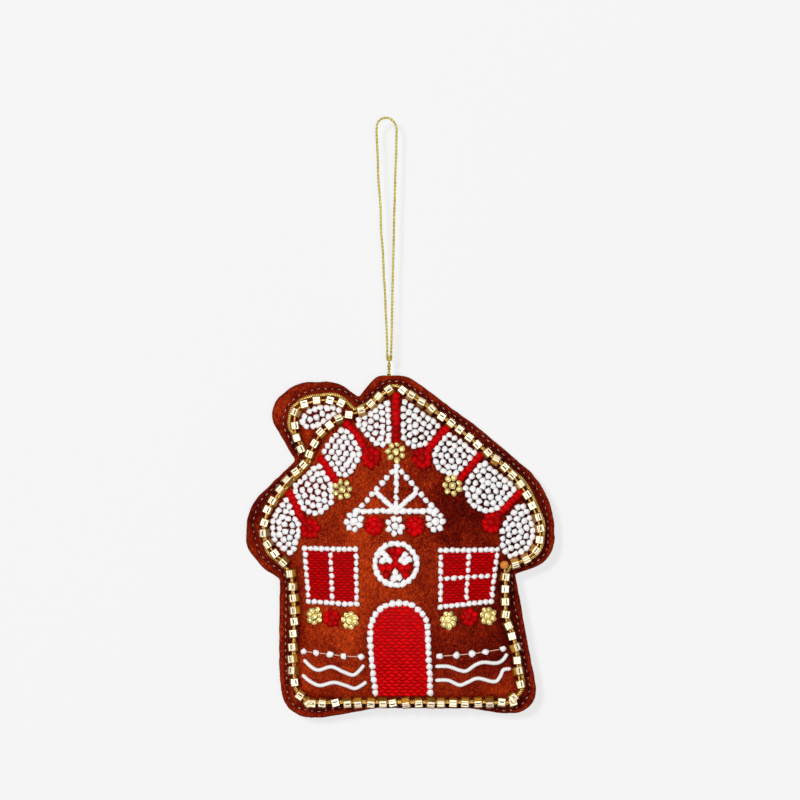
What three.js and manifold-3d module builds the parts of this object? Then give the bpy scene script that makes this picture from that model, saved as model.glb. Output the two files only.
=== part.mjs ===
import * as THREE from "three";
import { mergeVertices } from "three/addons/utils/BufferGeometryUtils.js";
import Module from "manifold-3d";

// Padded felt gingerbread house that hangs from a metallic cord, in millimetres, +Z up.
// The origin is the underside of the loop's crest, and the embroidered front faces -Y.
// Pieces are drawn on a sheet: x to the right, y up from the foot, z towards the viewer.

// Felt house
const houseWidth = 103.3;
const houseHeight = 114.3;
const feltThickness = 1.2;
const frontCrown = 7.5;
const backCrown = 7.5;
const restGap = 0.3;

// Glass cube beads on their threads
const beadSize = 2.8;
const beadPitch = 3.85;
const beadThread = 0.5;
const notchBeadDiameter = 2.6;

// Threads and cords
const edgeCordDiameter = 1.2;
const seamThreadDiameter = 0.4;
const loopCordDiameter = 0.8;
const loopStrandSpacing = 1.25;

// Embroidery
const knotWidth = 2;
const scallopPile = 1.5;
const barWidth = 2;
const barPile = 1.3;
const rosetteRadius = 3.1;
const smallRosetteRadius = 2.75;
const rosettePile = 1.5;
const framePile = 1.4;
const fillPile = 0.6;
const roundWindowRadius = 6.9;
const waveWidth = 1.35;
const wavePile = 1;
const garlandKnotRadius = 0.95;
const garlandThread = 0.5;

// Hanging neck, from the felt up to the loop
const loopDrop = 85.3;
const neckOffset = 0.6;
const swayLift = 1.7;
const neckLength = 2.3;
const endSetback = 0.65;
const whippingShoulder = 0.35;
const whippingHeight = 1.7;
const whippingDiameter = 1.7;
const tailInset = 1.2;

// Counts and angles
const cordSides = 8;
const edgeCordSides = 5;
const wrapSides = 16;
const threadSides = 3;
const roundEndSteps = 3;
const notchBeadRows = 6;
const loopSteps = 60;
const rosettePetals = 7;
const petalDipShare = 0.15;
const pointsPerPetal = 2;
const cornerStep = 0.7;
const straightestCorner = 0.09;
const sharpestCornerShare = 0.5;
const longestPanelStep = 10;
const longestCordStep = 6;
const samplingStep = 1;

// Corner points of the closed outlines: x and y shares of the house, then the corner's radius share
const edgeShares = [
  [-0.076, 0.998, 0.045], [0.026, 0.997, 0.090], [0.252, 0.847, 0.387], [0.498, 0.659, 0.271],
  [0.498, 0.459, 0.097], [0.371, 0.420, 0.006], [0.455, 0.013, 0.077], [0.339, 0.013, 0.065],
  [0.226, 0.028, 0.194], [-0.071, 0.029, 0.097], [-0.252, 0.001, 0.052], [-0.377, 0.000, 0.097],
  [-0.390, 0.160, 0.194], [-0.387, 0.405, 0.010], [-0.442, 0.437, 0.071], [-0.497, 0.499, 0.077],
  [-0.494, 0.614, 0.168], [-0.337, 0.751, 0.010], [-0.416, 0.870, 0.070], [-0.406, 0.925, 0.080],
  [-0.329, 0.979, 0.120], [-0.203, 0.981, 0.110], [-0.133, 0.935, 0.005],
];
const seamShares = [
  [-0.048, 0.981, 0.039], [0.010, 0.981, 0.065], [0.252, 0.834, 0.290], [0.477, 0.650, 0.232],
  [0.477, 0.464, 0.077], [0.361, 0.434, 0.010], [0.361, 0.370, 0.097], [0.426, 0.052, 0.071],
  [0.348, 0.019, 0.058], [0.258, 0.038, 0.097], [-0.155, 0.038, 0.097], [-0.265, 0.019, 0.058],
  [-0.361, 0.032, 0.065], [-0.369, 0.201, 0.194], [-0.366, 0.376, 0.065], [-0.373, 0.421, 0.013],
  [-0.452, 0.475, 0.071], [-0.477, 0.563, 0.077], [-0.455, 0.630, 0.097], [-0.316, 0.748, 0.013],
  [-0.379, 0.854, 0.065], [-0.369, 0.905, 0.065], [-0.325, 0.943, 0.084], [-0.265, 0.960, 0.110],
  [-0.184, 0.958, 0.071], [-0.127, 0.916, 0.010],
];
const edgeCordShares = [
  [-0.010, 0.967, 0.010], [0.039, 0.946, 0.032], [0.161, 0.872, 0.194], [0.290, 0.783, 0.194],
  [0.403, 0.691, 0.161], [0.463, 0.569, 0.084], [0.453, 0.478, 0.065], [0.358, 0.449, 0.026],
  [0.339, 0.423, 0.016], [0.339, 0.312, 0.052], [0.365, 0.242, 0.065], [0.400, 0.090, 0.052],
  [0.348, 0.044, 0.045], [0.290, 0.051, 0.065], [-0.284, 0.051, 0.052], [-0.337, 0.079, 0.052],
  [-0.340, 0.312, 0.129], [-0.348, 0.426, 0.032], [-0.429, 0.487, 0.052], [-0.440, 0.563, 0.065],
  [-0.413, 0.621, 0.065], [-0.287, 0.749, 0.013], [-0.313, 0.799, 0.045], [-0.358, 0.848, 0.040],
  [-0.350, 0.902, 0.045], [-0.303, 0.935, 0.077], [-0.200, 0.945, 0.065], [-0.145, 0.897, 0.010],
  [-0.071, 0.934, 0.045], [-0.026, 0.966, 0.010],
];

// Lines that the bead strands follow
const strandShares = {
  roof_left: [
    [-0.035, 0.955], [-0.059, 0.941], [-0.101, 0.907], [-0.142, 0.886], [-0.174, 0.883],
    [-0.205, 0.864], [-0.249, 0.835], [-0.275, 0.798], [-0.306, 0.740], [-0.359, 0.693],
    [-0.406, 0.634], [-0.426, 0.604], [-0.435, 0.566], [-0.433, 0.531], [-0.418, 0.503],
    [-0.395, 0.474], [-0.372, 0.458],
  ],
  roof_right: [
    [0.006, 0.956], [0.095, 0.902], [0.187, 0.843], [0.284, 0.770], [0.346, 0.721],
    [0.396, 0.668], [0.434, 0.599], [0.447, 0.566], [0.448, 0.523], [0.426, 0.483],
    [0.389, 0.459], [0.372, 0.454],
  ],
  chimney: [
    [-0.317, 0.786], [-0.332, 0.819], [-0.339, 0.862], [-0.335, 0.889], [-0.313, 0.910],
    [-0.284, 0.921], [-0.252, 0.926], [-0.211, 0.925], [-0.190, 0.918],
  ],
  wall_left: [
    [-0.350, 0.423], [-0.342, 0.376], [-0.337, 0.312], [-0.342, 0.230], [-0.344, 0.172],
    [-0.339, 0.107],
  ],
  wall_right: [
    [0.385, 0.104], [0.378, 0.147], [0.369, 0.217], [0.342, 0.285], [0.337, 0.332],
    [0.337, 0.415], [0.335, 0.447],
  ],
  base: [[-0.319, 0.070], [-0.292, 0.052], [-0.255, 0.048], [0.323, 0.050], [0.361, 0.066]],
};

const roundEndedStrand = "wall_right";

// Outlines of the icing fills on the roof, from the ridge down
const scallopShares = {
  left_1: [
    [-0.033, 0.930, 0.010], [-0.027, 0.805, 0.019], [-0.055, 0.789, 0.026],
    [-0.094, 0.805, 0.039], [-0.147, 0.863, 0.010], [-0.135, 0.873, 0.006],
  ],
  left_2: [
    [-0.194, 0.848, 0.019], [-0.148, 0.834, 0.032], [-0.119, 0.773, 0.045],
    [-0.155, 0.706, 0.039], [-0.200, 0.703, 0.032], [-0.253, 0.778, 0.016],
  ],
  left_3: [
    [-0.256, 0.751, 0.016], [-0.216, 0.691, 0.039], [-0.210, 0.627, 0.039],
    [-0.274, 0.583, 0.045], [-0.319, 0.612, 0.039], [-0.348, 0.676, 0.019],
  ],
  left_4: [
    [-0.365, 0.650, 0.013], [-0.332, 0.615, 0.032], [-0.313, 0.554, 0.045],
    [-0.345, 0.468, 0.016], [-0.413, 0.519, 0.045], [-0.416, 0.580, 0.045],
  ],
  right_1: [
    [0.005, 0.937, 0.010], [0.005, 0.813, 0.026], [0.039, 0.783, 0.032],
    [0.087, 0.793, 0.032], [0.132, 0.854, 0.010],
  ],
  right_2: [
    [0.156, 0.838, 0.019], [0.252, 0.773, 0.013], [0.206, 0.717, 0.039],
    [0.152, 0.703, 0.045], [0.105, 0.738, 0.045], [0.108, 0.793, 0.039],
  ],
  right_3: [
    [0.265, 0.755, 0.016], [0.377, 0.673, 0.013], [0.345, 0.627, 0.032],
    [0.290, 0.592, 0.052], [0.219, 0.621, 0.045], [0.200, 0.682, 0.045],
  ],
  right_4: [
    [0.387, 0.637, 0.016], [0.426, 0.592, 0.045], [0.442, 0.531, 0.052], [0.406, 0.487, 0.032],
    [0.348, 0.461, 0.019], [0.321, 0.507, 0.032], [0.323, 0.560, 0.045],
  ],
};
const chimneySnowShares = [
  [-0.323, 0.869, 0.019], [-0.287, 0.910, 0.026], [-0.226, 0.918, 0.039],
  [-0.181, 0.901, 0.013], [-0.232, 0.843, 0.019], [-0.313, 0.843, 0.019],
];

// Red bars between the fills, with the rosette that each one points at
const barShares = {
  centre: [[-0.013, 0.939], [-0.013, 0.809]],
  left_1: [[-0.170, 0.859], [-0.142, 0.830], [-0.124, 0.803], [-0.103, 0.776]],
  left_2: [[-0.253, 0.758], [-0.205, 0.690]],
  left_3: [[-0.353, 0.656], [-0.331, 0.616], [-0.320, 0.592], [-0.298, 0.564]],
  right_1: [[0.145, 0.843], [0.084, 0.776]],
  right_2: [[0.254, 0.763], [0.195, 0.701]],
  right_3: [[0.385, 0.658], [0.354, 0.629], [0.328, 0.606], [0.305, 0.584]],
};
const roofRosetteShares = {
  centre: [-0.014, 0.777],
  left_1: [-0.092, 0.760],
  left_2: [-0.185, 0.668],
  left_3: [-0.288, 0.554],
  right_1: [0.071, 0.758],
  right_2: [0.168, 0.679],
  right_3: [0.294, 0.572],
};
const redRosettes = ["left_1", "left_3", "right_1", "right_3"];

// Gable, windows, door and the stitched lines beside it
const gableShares = [[-0.010, 0.737, 0], [-0.137, 0.605, 0], [0.115, 0.605, 0]];
const gableHubShares = [-0.013, 0.607];
const gableSpokeShares = [[-0.011, 0.732], [-0.072, 0.656], [0.048, 0.656]];
const gableRowShares = {
  left_end: [-0.148, 0.575],
  left_red: [-0.083, 0.564],
  middle: [-0.015, 0.562],
  right_red: [0.048, 0.562],
  right_end: [0.114, 0.575],
};

// Corner of the gable that each end rosette hangs from
const gableEndCorners = { left_end: gableShares[1], right_end: gableShares[2] };

const roundWindowShares = [-0.013, 0.452];
const redLobeHalfAngle = 0.56;
const redLobeRadiusShare = 0.8;
const redHubRadiusShare = 0.27;
const pointsPerLobe = 4;
const windowShares = {
  left: [[-0.305, 0.497, 0], [-0.142, 0.495, 0], [-0.138, 0.336, 0], [-0.294, 0.343, 0]],
  right: [[0.130, 0.492, 0], [0.313, 0.493, 0], [0.293, 0.343, 0], [0.130, 0.329, 0]],
};
const windowRosetteShares = {
  left: [[-0.275, 0.301], [-0.219, 0.296], [-0.160, 0.289]],
  right: [[0.156, 0.289], [0.223, 0.299], [0.283, 0.301]],
};
const doorShares = [
  [-0.079, 0.077, 0], [-0.095, 0.216, 0.194], [-0.094, 0.340, 0.087],
  [0.087, 0.340, 0.087], [0.090, 0.216, 0.194], [0.098, 0.077, 0],
];
const waveShares = {
  left_upper: [
    [-0.309, 0.174], [-0.286, 0.154], [-0.261, 0.144], [-0.220, 0.154],
    [-0.183, 0.140], [-0.150, 0.130], [-0.129, 0.144], [-0.115, 0.160],
  ],
  left_lower: [
    [-0.314, 0.130], [-0.290, 0.112], [-0.257, 0.099], [-0.213, 0.108],
    [-0.175, 0.099], [-0.146, 0.090], [-0.124, 0.099], [-0.107, 0.110],
  ],
  right_upper: [
    [0.113, 0.155], [0.154, 0.155], [0.191, 0.144], [0.213, 0.142],
    [0.243, 0.160], [0.269, 0.167], [0.306, 0.164], [0.328, 0.171], [0.345, 0.191],
  ],
  right_lower: [
    [0.113, 0.114], [0.154, 0.114], [0.191, 0.100], [0.217, 0.108],
    [0.250, 0.120], [0.302, 0.110], [0.321, 0.124], [0.332, 0.144], [0.356, 0.147],
  ],
};
const garlandShares = {
  left: [[-0.309, 0.197], [-0.269, 0.194], [-0.225, 0.190], [-0.181, 0.185], [-0.124, 0.183]],
  right: [[0.127, 0.185], [0.181, 0.188], [0.231, 0.192], [0.275, 0.197], [0.331, 0.205]],
};

// Stuffed shape: rings between the seam and the middle, and where the middle lies
const pillowCentreShares = [0, 0.522];
const pillowRingTable = [
  { share: 0.965, every: 1 },
  { share: 0.9, every: 1 },
  { share: 0.78, every: 2 },
  { share: 0.56, every: 4 },
  { share: 0.28, every: 8 },
];
const stuffingFirstRing = 2;

// The loop's route by hand, x and z from the origin, down the left strand and down the right one
const loopLeftRoute = [
  [-3.43, -2], [-3.23, -12.67], [-2.97, -21], [-2.33, -28.67], [-2.1, -37],
  [-1.5, -44.67], [-1.2, -52.33], [-0.8, -58], [-0.57, -64.33], [-0.2, -71.5],
];
const loopRightRoute = [
  [2.77, -2], [3, -7], [2.9, -11.67], [2.63, -19], [2.43, -27], [2.2, -34.33],
  [2.07, -42], [1.87, -49.67], [1.7, -56], [1.55, -63], [1.4, -71.5],
];
const loopCrest = [-0.2, 0.4];

const colours = {
  felt: [0x8c3612, 0.95, 0],
  stuffing: [0xf2efe6, 1, 0],
  seam: [0xd8b8a8, 0.5, 0],
  gold: [0xc9a24a, 0.35, 0.8],
  bead: [0xf0e6c0, 0.15, 0.2],
  white: [0xf4f2f4, 0.5, 0],
  red: [0xb80a12, 0.45, 0],
  goldKnot: [0xd8bc6a, 0.4, 0.6],
};

const wasm = await Module();
wasm.setup();

// Points on the sheet
function place([xShare, yShare]) {
  return new THREE.Vector2(xShare * houseWidth, yShare * houseHeight);
}

function circleAt(centre, radius, count) {
  return Array.from({ length: count }, (_, i) => {
    const angle = (2 * Math.PI * i) / count;
    return new THREE.Vector2(Math.cos(angle), Math.sin(angle)).multiplyScalar(radius).add(centre);
  });
}

// One rounded corner, as points on its arc
function cornerArc(before, corner, after, radius) {
  const back = before.clone().sub(corner).normalize();
  const ahead = after.clone().sub(corner).normalize();
  const halfAngle = Math.acos(THREE.MathUtils.clamp(back.dot(ahead), -1, 1)) / 2;
  const turn = Math.PI - 2 * halfAngle;
  if (radius === 0 || turn < straightestCorner) return [corner.clone()];
  const middle = back.clone().add(ahead).normalize();
  const centre = middle.clone().multiplyScalar(radius / Math.sin(halfAngle)).add(corner);
  const side = Math.sign(back.cross(ahead));
  const steps = Math.ceil(turn / cornerStep);
  return Array.from({ length: steps + 1 }, (_, i) => {
    const swing = side * (i / steps - 0.5) * turn;
    return middle.clone().multiplyScalar(-radius).rotateAround(new THREE.Vector2(), -swing).add(centre);
  });
}

// Closed outline with rounded corners, anticlockwise
function roundedOutline(shares) {
  const corners = shares.map(place);
  const points = corners.flatMap((corner, i) => {
    const after = corners[(i + 1) % corners.length];
    return cornerArc(corners.at(i - 1), corner, after, shares[i][2] * houseWidth);
  });
  return THREE.ShapeUtils.isClockWise(points) ? points.reverse() : points;
}

// The same closed line with no step longer than the given one
function subdivided(points, longest) {
  return points.flatMap((point, i) => {
    const next = points[(i + 1) % points.length];
    const count = Math.max(1, Math.ceil(point.distanceTo(next) / longest));
    return Array.from({ length: count }, (_, k) => point.clone().lerp(next, k / count));
  });
}

// Outline moved outwards by an amount, or inwards by a negative one
function grown(points, amount) {
  return points.map((point, i) => {
    const before = point.clone().sub(points.at(i - 1)).normalize();
    const after = points[(i + 1) % points.length].clone().sub(point).normalize();
    const along = before.clone().add(after).normalize();
    const reach = amount / Math.max(sharpestCornerShare, along.dot(after));
    return new THREE.Vector2(along.y, -along.x).multiplyScalar(reach).add(point);
  });
}

// Band of a width along an open line
function bandAlong(points, width) {
  const side = (point, i) => {
    const before = points[Math.max(0, i - 1)];
    const after = points[Math.min(points.length - 1, i + 1)];
    const along = after.clone().sub(before).normalize();
    return new THREE.Vector2(-along.y, along.x).multiplyScalar(width / 2);
  };
  const left = points.map((point, i) => point.clone().add(side(point, i)));
  const right = points.map((point, i) => point.clone().sub(side(point, i)));
  return right.concat(left.reverse());
}

function smoothLine(shares, pointsPerPart) {
  const curve = new THREE.SplineCurve(shares.map(place));
  return curve.getPoints((shares.length - 1) * pointsPerPart);
}

// Where a ray from the middle of the house crosses an outline
function crossingFrom(centre, target, outline) {
  const ray = target.clone().sub(centre);
  let reach = 0;
  outline.forEach((start, i) => {
    const side = outline[(i + 1) % outline.length].clone().sub(start);
    const offset = start.clone().sub(centre);
    const span = ray.cross(side);
    const along = offset.cross(side) / span;
    const across = offset.cross(ray) / span;
    if (along > 0 && across >= 0 && across <= 1) reach = Math.max(reach, along);
  });
  return centre.clone().addScaledVector(ray, reach);
}

// Stuffed surface: rings of points from the felt's edge to the middle, each with its crown share
const pillowCentre = place(pillowCentreShares);
const seamOutline = roundedOutline(seamShares);
const seamSamples = subdivided(seamOutline, samplingStep);

function seamDistance(point) {
  let pull = 0;
  seamSamples.forEach((sample, i) => {
    const next = seamSamples[(i + 1) % seamSamples.length];
    pull += sample.distanceTo(next) / point.distanceTo(sample) ** 3;
  });
  return Math.sqrt(2 / pull);
}

const deepest = seamDistance(pillowCentre);

function crownShareAt(point) {
  const depthShare = Math.min(1, seamDistance(point) / deepest);
  return Math.sqrt(1 - (1 - depthShare) ** 2);
}

// The felt's edge, with its longest sides halved until its count can be thinned
function edgeRing() {
  const points = subdivided(roundedOutline(edgeShares), longestPanelStep);
  const thinnest = Math.max(...pillowRingTable.map(({ every }) => every));
  const sideAfter = (i) => points[i].distanceTo(points[(i + 1) % points.length]);
  while (points.length % thinnest > 0) {
    const longest = points.reduce((best, _, i) => (sideAfter(i) > sideAfter(best) ? i : best), 0);
    const next = points[(longest + 1) % points.length];
    points.splice(longest + 1, 0, points[longest].clone().lerp(next, 0.5));
  }
  return points;
}

function pillowRings() {
  const edge = edgeRing();
  const seam = edge.map((point) => crossingFrom(pillowCentre, point, seamOutline));
  const flat = [edge, seam].map((ring) => ring.map((at) => ({ at, crown: 0 })));
  const inner = pillowRingTable.map(({ share, every }) => (
    seam.filter((_, i) => i % every === 0).map((point) => {
      const at = pillowCentre.clone().lerp(point, share);
      return { at, crown: crownShareAt(at) };
    })
  ));
  return [...flat, ...inner, [{ at: pillowCentre, crown: 1 }]];
}

const rings = pillowRings();

// Triangles between a ring and the next one inwards, which may have fewer points
function stripTriangles(outer, inner) {
  const ratio = outer.length / inner.length;
  const turn = Math.floor(ratio / 2);
  return inner.flatMap((near, k) => {
    const nearNext = inner[(k + 1) % inner.length];
    const far = (i) => outer[(k * ratio + i) % outer.length];
    const fan = Array.from({ length: ratio }, (_, i) => [far(i), far(i + 1), i < turn ? near : nearNext]);
    return near === nearNext ? fan : [...fan, [far(turn), nearNext, near]];
  });
}

// Triangles of the stuffed surface from one ring inwards, as indexes into its point list
function surfaceTriangles(firstRing) {
  let first = 0;
  const indexRings = rings.slice(firstRing).map((ring) => {
    const indexes = ring.map((_, i) => first + i);
    first += ring.length;
    return indexes;
  });
  return indexRings.slice(1).flatMap((inner, i) => stripTriangles(indexRings[i], inner));
}

function surfacePoints(firstRing) {
  return rings.slice(firstRing).flat();
}

// Closed body between two heights over the stuffed surface, each a function of the crown share
function domedBody(topHeight, bottomHeight, firstRing = 0) {
  const points = surfacePoints(firstRing);
  const triangles = surfaceTriangles(firstRing);
  const top = points.flatMap(({ at, crown }) => [at.x, at.y, topHeight(crown)]);
  const bottom = points.flatMap(({ at, crown }) => [at.x, at.y, bottomHeight(crown)]);
  const under = points.length;
  const faces = triangles.flat();
  triangles.forEach(([a, b, c]) => faces.push(under + a, under + c, under + b));
  rings[firstRing].forEach((_, i, ring) => {
    const next = (i + 1) % ring.length;
    faces.push(under + i, under + next, next, under + i, next, i);
  });
  const geometry = new THREE.BufferGeometry();
  geometry.setAttribute("position", new THREE.Float32BufferAttribute(top.concat(bottom), 3));
  geometry.setIndex(faces);
  return geometry;
}

// Heights above the middle of the pillow
const marginTop = restGap / 2 + feltThickness;
const frontSurface = (crown) => marginTop + frontCrown * crown;
const allPoints = surfacePoints(0);
const allTriangles = surfaceTriangles(0);

// Height of the front felt's outer face over a point of the sheet
function frontHeight(point) {
  for (const triangle of allTriangles) {
    const [a, b, c] = triangle.map((index) => allPoints[index]);
    const ab = b.at.clone().sub(a.at);
    const ac = c.at.clone().sub(a.at);
    const ap = point.clone().sub(a.at);
    const area = ab.cross(ac);
    const shareB = ap.cross(ac) / area;
    const shareC = ab.cross(ap) / area;
    if (shareB >= -restGap / houseWidth && shareC >= 0 && shareB + shareC <= 1) {
      const crown = a.crown + shareB * (b.crown - a.crown) + shareC * (c.crown - a.crown);
      return frontSurface(crown);
    }
  }
  return marginTop;
}

// Solids for cutting and joining
function solidOf(geometry) {
  const bare = geometry.clone();
  bare.deleteAttribute("normal");
  bare.deleteAttribute("uv");
  const welded = mergeVertices(bare);
  const mesh = new wasm.Mesh({
    numProp: 3,
    vertProperties: new Float32Array(welded.attributes.position.array),
    triVerts: new Uint32Array(welded.index.array),
  });
  return new wasm.Manifold(mesh);
}

function geometryOf(solid) {
  const mesh = solid.getMesh();
  const geometry = new THREE.BufferGeometry();
  geometry.setAttribute("position", new THREE.BufferAttribute(mesh.vertProperties, 3));
  geometry.setIndex(new THREE.BufferAttribute(mesh.triVerts, 1));
  return geometry;
}

const prismDepth = marginTop + frontCrown + beadSize + framePile;

function prism(outline) {
  const geometry = new THREE.ExtrudeGeometry(new THREE.Shape(outline), {
    depth: prismDepth,
    bevelEnabled: false,
  });
  return solidOf(geometry);
}

function joined(solids) {
  return solids.reduce((whole, solid) => whole.add(solid));
}

// Band along a line that turns sharply, joined from straight lengths and round turns
function turningBand(line, width) {
  const lengths = line.slice(1).map((point, i) => prism(bandAlong([line[i], point], width)));
  const turns = line.map((point) => prism(circleAt(point, width / 2, cordSides)));
  return joined(lengths.concat(turns));
}

// Layer of stitching that lies on the felt, between two heights above its seat
function coverLayer(low, high) {
  const seat = (crown) => frontSurface(crown) + restGap;
  return solidOf(domedBody((crown) => seat(crown) + high, (crown) => seat(crown) + low));
}

function largestBody(solid) {
  return solid.decompose().reduce((best, body) => (body.volume() > best.volume() ? body : best));
}

// Strips that the strands and the edge cord keep free of stitching
const edgeCordOutline = roundedOutline(edgeCordShares);
const strandLines = Object.fromEntries(
  Object.entries(strandShares).map(([name, shares]) => [name, smoothLine(shares, 2)]),
);
const beadStrips = Object.values(strandLines).map((line) => turningBand(line, beadSize + 2 * restGap));
const insideCord = prism(grown(edgeCordOutline, -(edgeCordDiameter / 2 + restGap)));

// Stitched piece: outlines laid on the felt, clear of the strands and of other outlines
function stitched(outlines, pile, avoided = []) {
  let solid = joined(outlines.map(prism)).intersect(insideCord);
  beadStrips.forEach((strip) => {
    solid = solid.subtract(strip);
  });
  avoided.forEach((outline) => {
    solid = solid.subtract(prism(grown(outline, restGap)));
  });
  return largestBody(solid.intersect(coverLayer(0, pile)));
}

// Meshes
const house = new THREE.Group();
const hanging = new THREE.Group();

function addMesh(parent, name, geometry, colour) {
  const [color, roughness, metalness] = colours[colour];
  const material = new THREE.MeshStandardMaterial({ color, roughness, metalness });
  const mesh = new THREE.Mesh(geometry, material);
  mesh.name = name;
  parent.add(mesh);
  return mesh;
}

// Hanging neck, in heights above the foot of the house
const neckX = place([-0.0345, 0]).x;
const feltTop = houseHeight;
const swayHeight = feltTop + swayLift;
const swingHeight = swayHeight + neckLength;
const whippingBottom = swingHeight + endSetback + whippingShoulder;
const tailEnd = place(seamShares[0]).y - tailInset;
const cordRadius = loopCordDiameter / 2;

// Short cord along y with round ends, between the centres of those ends
function roundEndedCord(radius, low, high) {
  const geometry = new THREE.CapsuleGeometry(radius, high - low, roundEndSteps, cordSides);
  return geometry.translate(neckX, (low + high) / 2, 0);
}

function addNeck() {
  const tail = roundEndedCord(cordRadius, tailEnd + cordRadius, swayHeight - endSetback);
  addMesh(house, "loop_tail", tail, "gold");
  const neck = roundEndedCord(cordRadius, swayHeight + endSetback, swingHeight - endSetback);
  addMesh(house, "loop_neck", neck, "gold");
  const wrapRadius = whippingDiameter / 2;
  const wrap = new THREE.CylinderGeometry(wrapRadius, wrapRadius, whippingHeight, wrapSides);
  wrap.translate(neckX, whippingBottom + whippingHeight / 2, 0);
  const stub = roundEndedCord(cordRadius, swingHeight + endSetback, whippingBottom + whippingHeight / 2);
  addMesh(house, "loop_whipping", geometryOf(solidOf(wrap).add(solidOf(stub))), "gold");
}

// Felt panels, with the channel where the loop's tail is sewn in between them
function addPanels() {
  const channelTop = feltTop + feltThickness;
  const channel = solidOf(roundEndedCord(cordRadius + restGap, tailEnd + cordRadius, channelTop));
  const panel = (crownHeight) => solidOf(domedBody(
    (crown) => marginTop + crownHeight * crown,
    (crown) => restGap / 2 + crownHeight * crown,
  ));
  addMesh(house, "front_panel", geometryOf(panel(frontCrown).subtract(channel)), "felt");
  const back = panel(backCrown).subtract(channel).mirror([0, 0, 1]);
  addMesh(house, "back_panel", geometryOf(back), "felt");
}

function addStuffing() {
  const inner = (crownHeight) => (crown) => crownHeight * crown - restGap / 2;
  const depth = (crown) => -inner(backCrown)(crown);
  addMesh(house, "stuffing", domedBody(inner(frontCrown), depth, stuffingFirstRing), "stuffing");
}

// Closed cord through points of the sheet with heights
function closedCord(centres, radius, sides) {
  const positions = [];
  const faces = [];
  centres.forEach((centre, i) => {
    const ahead = centres[(i + 1) % centres.length];
    const along = ahead.clone().sub(centres.at(i - 1)).normalize();
    const side = along.clone().cross(new THREE.Vector3(0, 0, 1)).normalize();
    const up = side.clone().cross(along);
    for (let k = 0; k < sides; k += 1) {
      const angle = (2 * Math.PI * k) / sides;
      const point = centre.clone().addScaledVector(side, radius * Math.cos(angle));
      positions.push(...point.addScaledVector(up, radius * Math.sin(angle)).toArray());
      const [a, b] = [i * sides + k, i * sides + ((k + 1) % sides)];
      const shift = (((i + 1) % centres.length) - i) * sides;
      faces.push(a, b + shift, b, a, a + shift, b + shift);
    }
  });
  const geometry = new THREE.BufferGeometry();
  geometry.setAttribute("position", new THREE.Float32BufferAttribute(positions, 3));
  geometry.setIndex(faces);
  return geometry;
}

function addSeamThreads() {
  const radius = seamThreadDiameter / 2;
  const line = grown(rings[1].map(({ at }) => at), radius + restGap);
  const height = marginTop + restGap + radius;
  for (const [name, sign] of [["seam_thread_front", 1], ["seam_thread_back", -1]]) {
    const centres = line.map((point) => new THREE.Vector3(point.x, point.y, sign * height));
    addMesh(house, name, closedCord(centres, radius, threadSides), "seam");
  }
}

// Highest felt under a round patch of the sheet
function highestUnder(point, radius) {
  const around = circleAt(point, radius, cordSides).concat(circleAt(point, radius / 2, cordSides));
  return Math.max(frontHeight(point), ...around.map(frontHeight));
}

function addEdgeCord() {
  const radius = edgeCordDiameter / 2;
  const centres = subdivided(edgeCordOutline, longestCordStep).map((point) => {
    const height = highestUnder(point, radius) + restGap + radius;
    return new THREE.Vector3(point.x, point.y, height);
  });
  addMesh(house, "edge_cord", closedCord(centres, radius, edgeCordSides), "gold");
}

// Centres and directions of the beads on a strand, raised clear of the edge cord
function beadPlaces(line) {
  const curve = new THREE.SplineCurve(line);
  const count = Math.round(curve.getLength() / beadPitch);
  return Array.from({ length: count + 1 }, (_, i) => {
    const at = curve.getPointAt(i / count);
    const along = curve.getTangentAt(i / count);
    const ahead = at.clone().addScaledVector(along, beadSize / 2);
    const behind = at.clone().addScaledVector(along, -beadSize / 2);
    const rise = frontHeight(ahead) - frontHeight(behind);
    const lift = highestUnder(at, beadSize / 2) + 2 * restGap + edgeCordDiameter;
    const centre = new THREE.Vector3(at.x, at.y, lift + beadSize / 2);
    return { centre, direction: new THREE.Vector3(along.x * beadSize, along.y * beadSize, rise).normalize() };
  });
}

function cubeBead({ centre, direction }) {
  const side = new THREE.Vector3(0, 0, 1).cross(direction).normalize();
  const up = direction.clone().cross(side);
  const turn = new THREE.Matrix4().makeBasis(direction, side, up).setPosition(centre);
  return new THREE.BoxGeometry(beadSize, beadSize, beadSize).applyMatrix4(turn);
}

function roundBead({ centre }) {
  const bead = new THREE.SphereGeometry(notchBeadDiameter / 2, cordSides, notchBeadRows);
  return bead.translate(centre.x, centre.y, centre.z);
}

function threadThrough(centres) {
  const section = new THREE.Shape(circleAt(new THREE.Vector2(), beadThread / 2, threadSides));
  return new THREE.ExtrudeGeometry(section, {
    steps: centres.length - 1,
    bevelEnabled: false,
    extrudePath: new THREE.CatmullRomCurve3(centres),
  });
}

function addStrands() {
  for (const [name, line] of Object.entries(strandLines)) {
    const places = beadPlaces(line);
    const lastRound = name === roundEndedStrand ? places.length - 1 : places.length;
    const beads = places.map((bead, i) => solidOf(i < lastRound ? cubeBead(bead) : roundBead(bead)));
    const centres = places.map(({ centre }) => centre);
    const thread = solidOf(threadThrough(centres));
    addMesh(house, `bead_strand_${name}`, geometryOf(joined([thread, ...beads])), "bead");
  }
}

// Rosette of knots round a middle knot
function rosetteOutline(shares, radius) {
  const count = rosettePetals * pointsPerPetal;
  return circleAt(new THREE.Vector2(), radius, count).map((point, i) => {
    const petal = Math.abs(Math.cos((Math.PI * i) / pointsPerPetal));
    return point.multiplyScalar(1 - petalDipShare * (1 - petal)).add(place(shares));
  });
}

const barOutlines = Object.fromEntries(
  Object.entries(barShares).map(([name, shares]) => [name, bandAlong(smoothLine(shares, 2), barWidth)]),
);
const roofRosettes = Object.fromEntries(
  Object.entries(roofRosetteShares).map(([name, shares]) => [name, rosetteOutline(shares, rosetteRadius)]),
);

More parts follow.
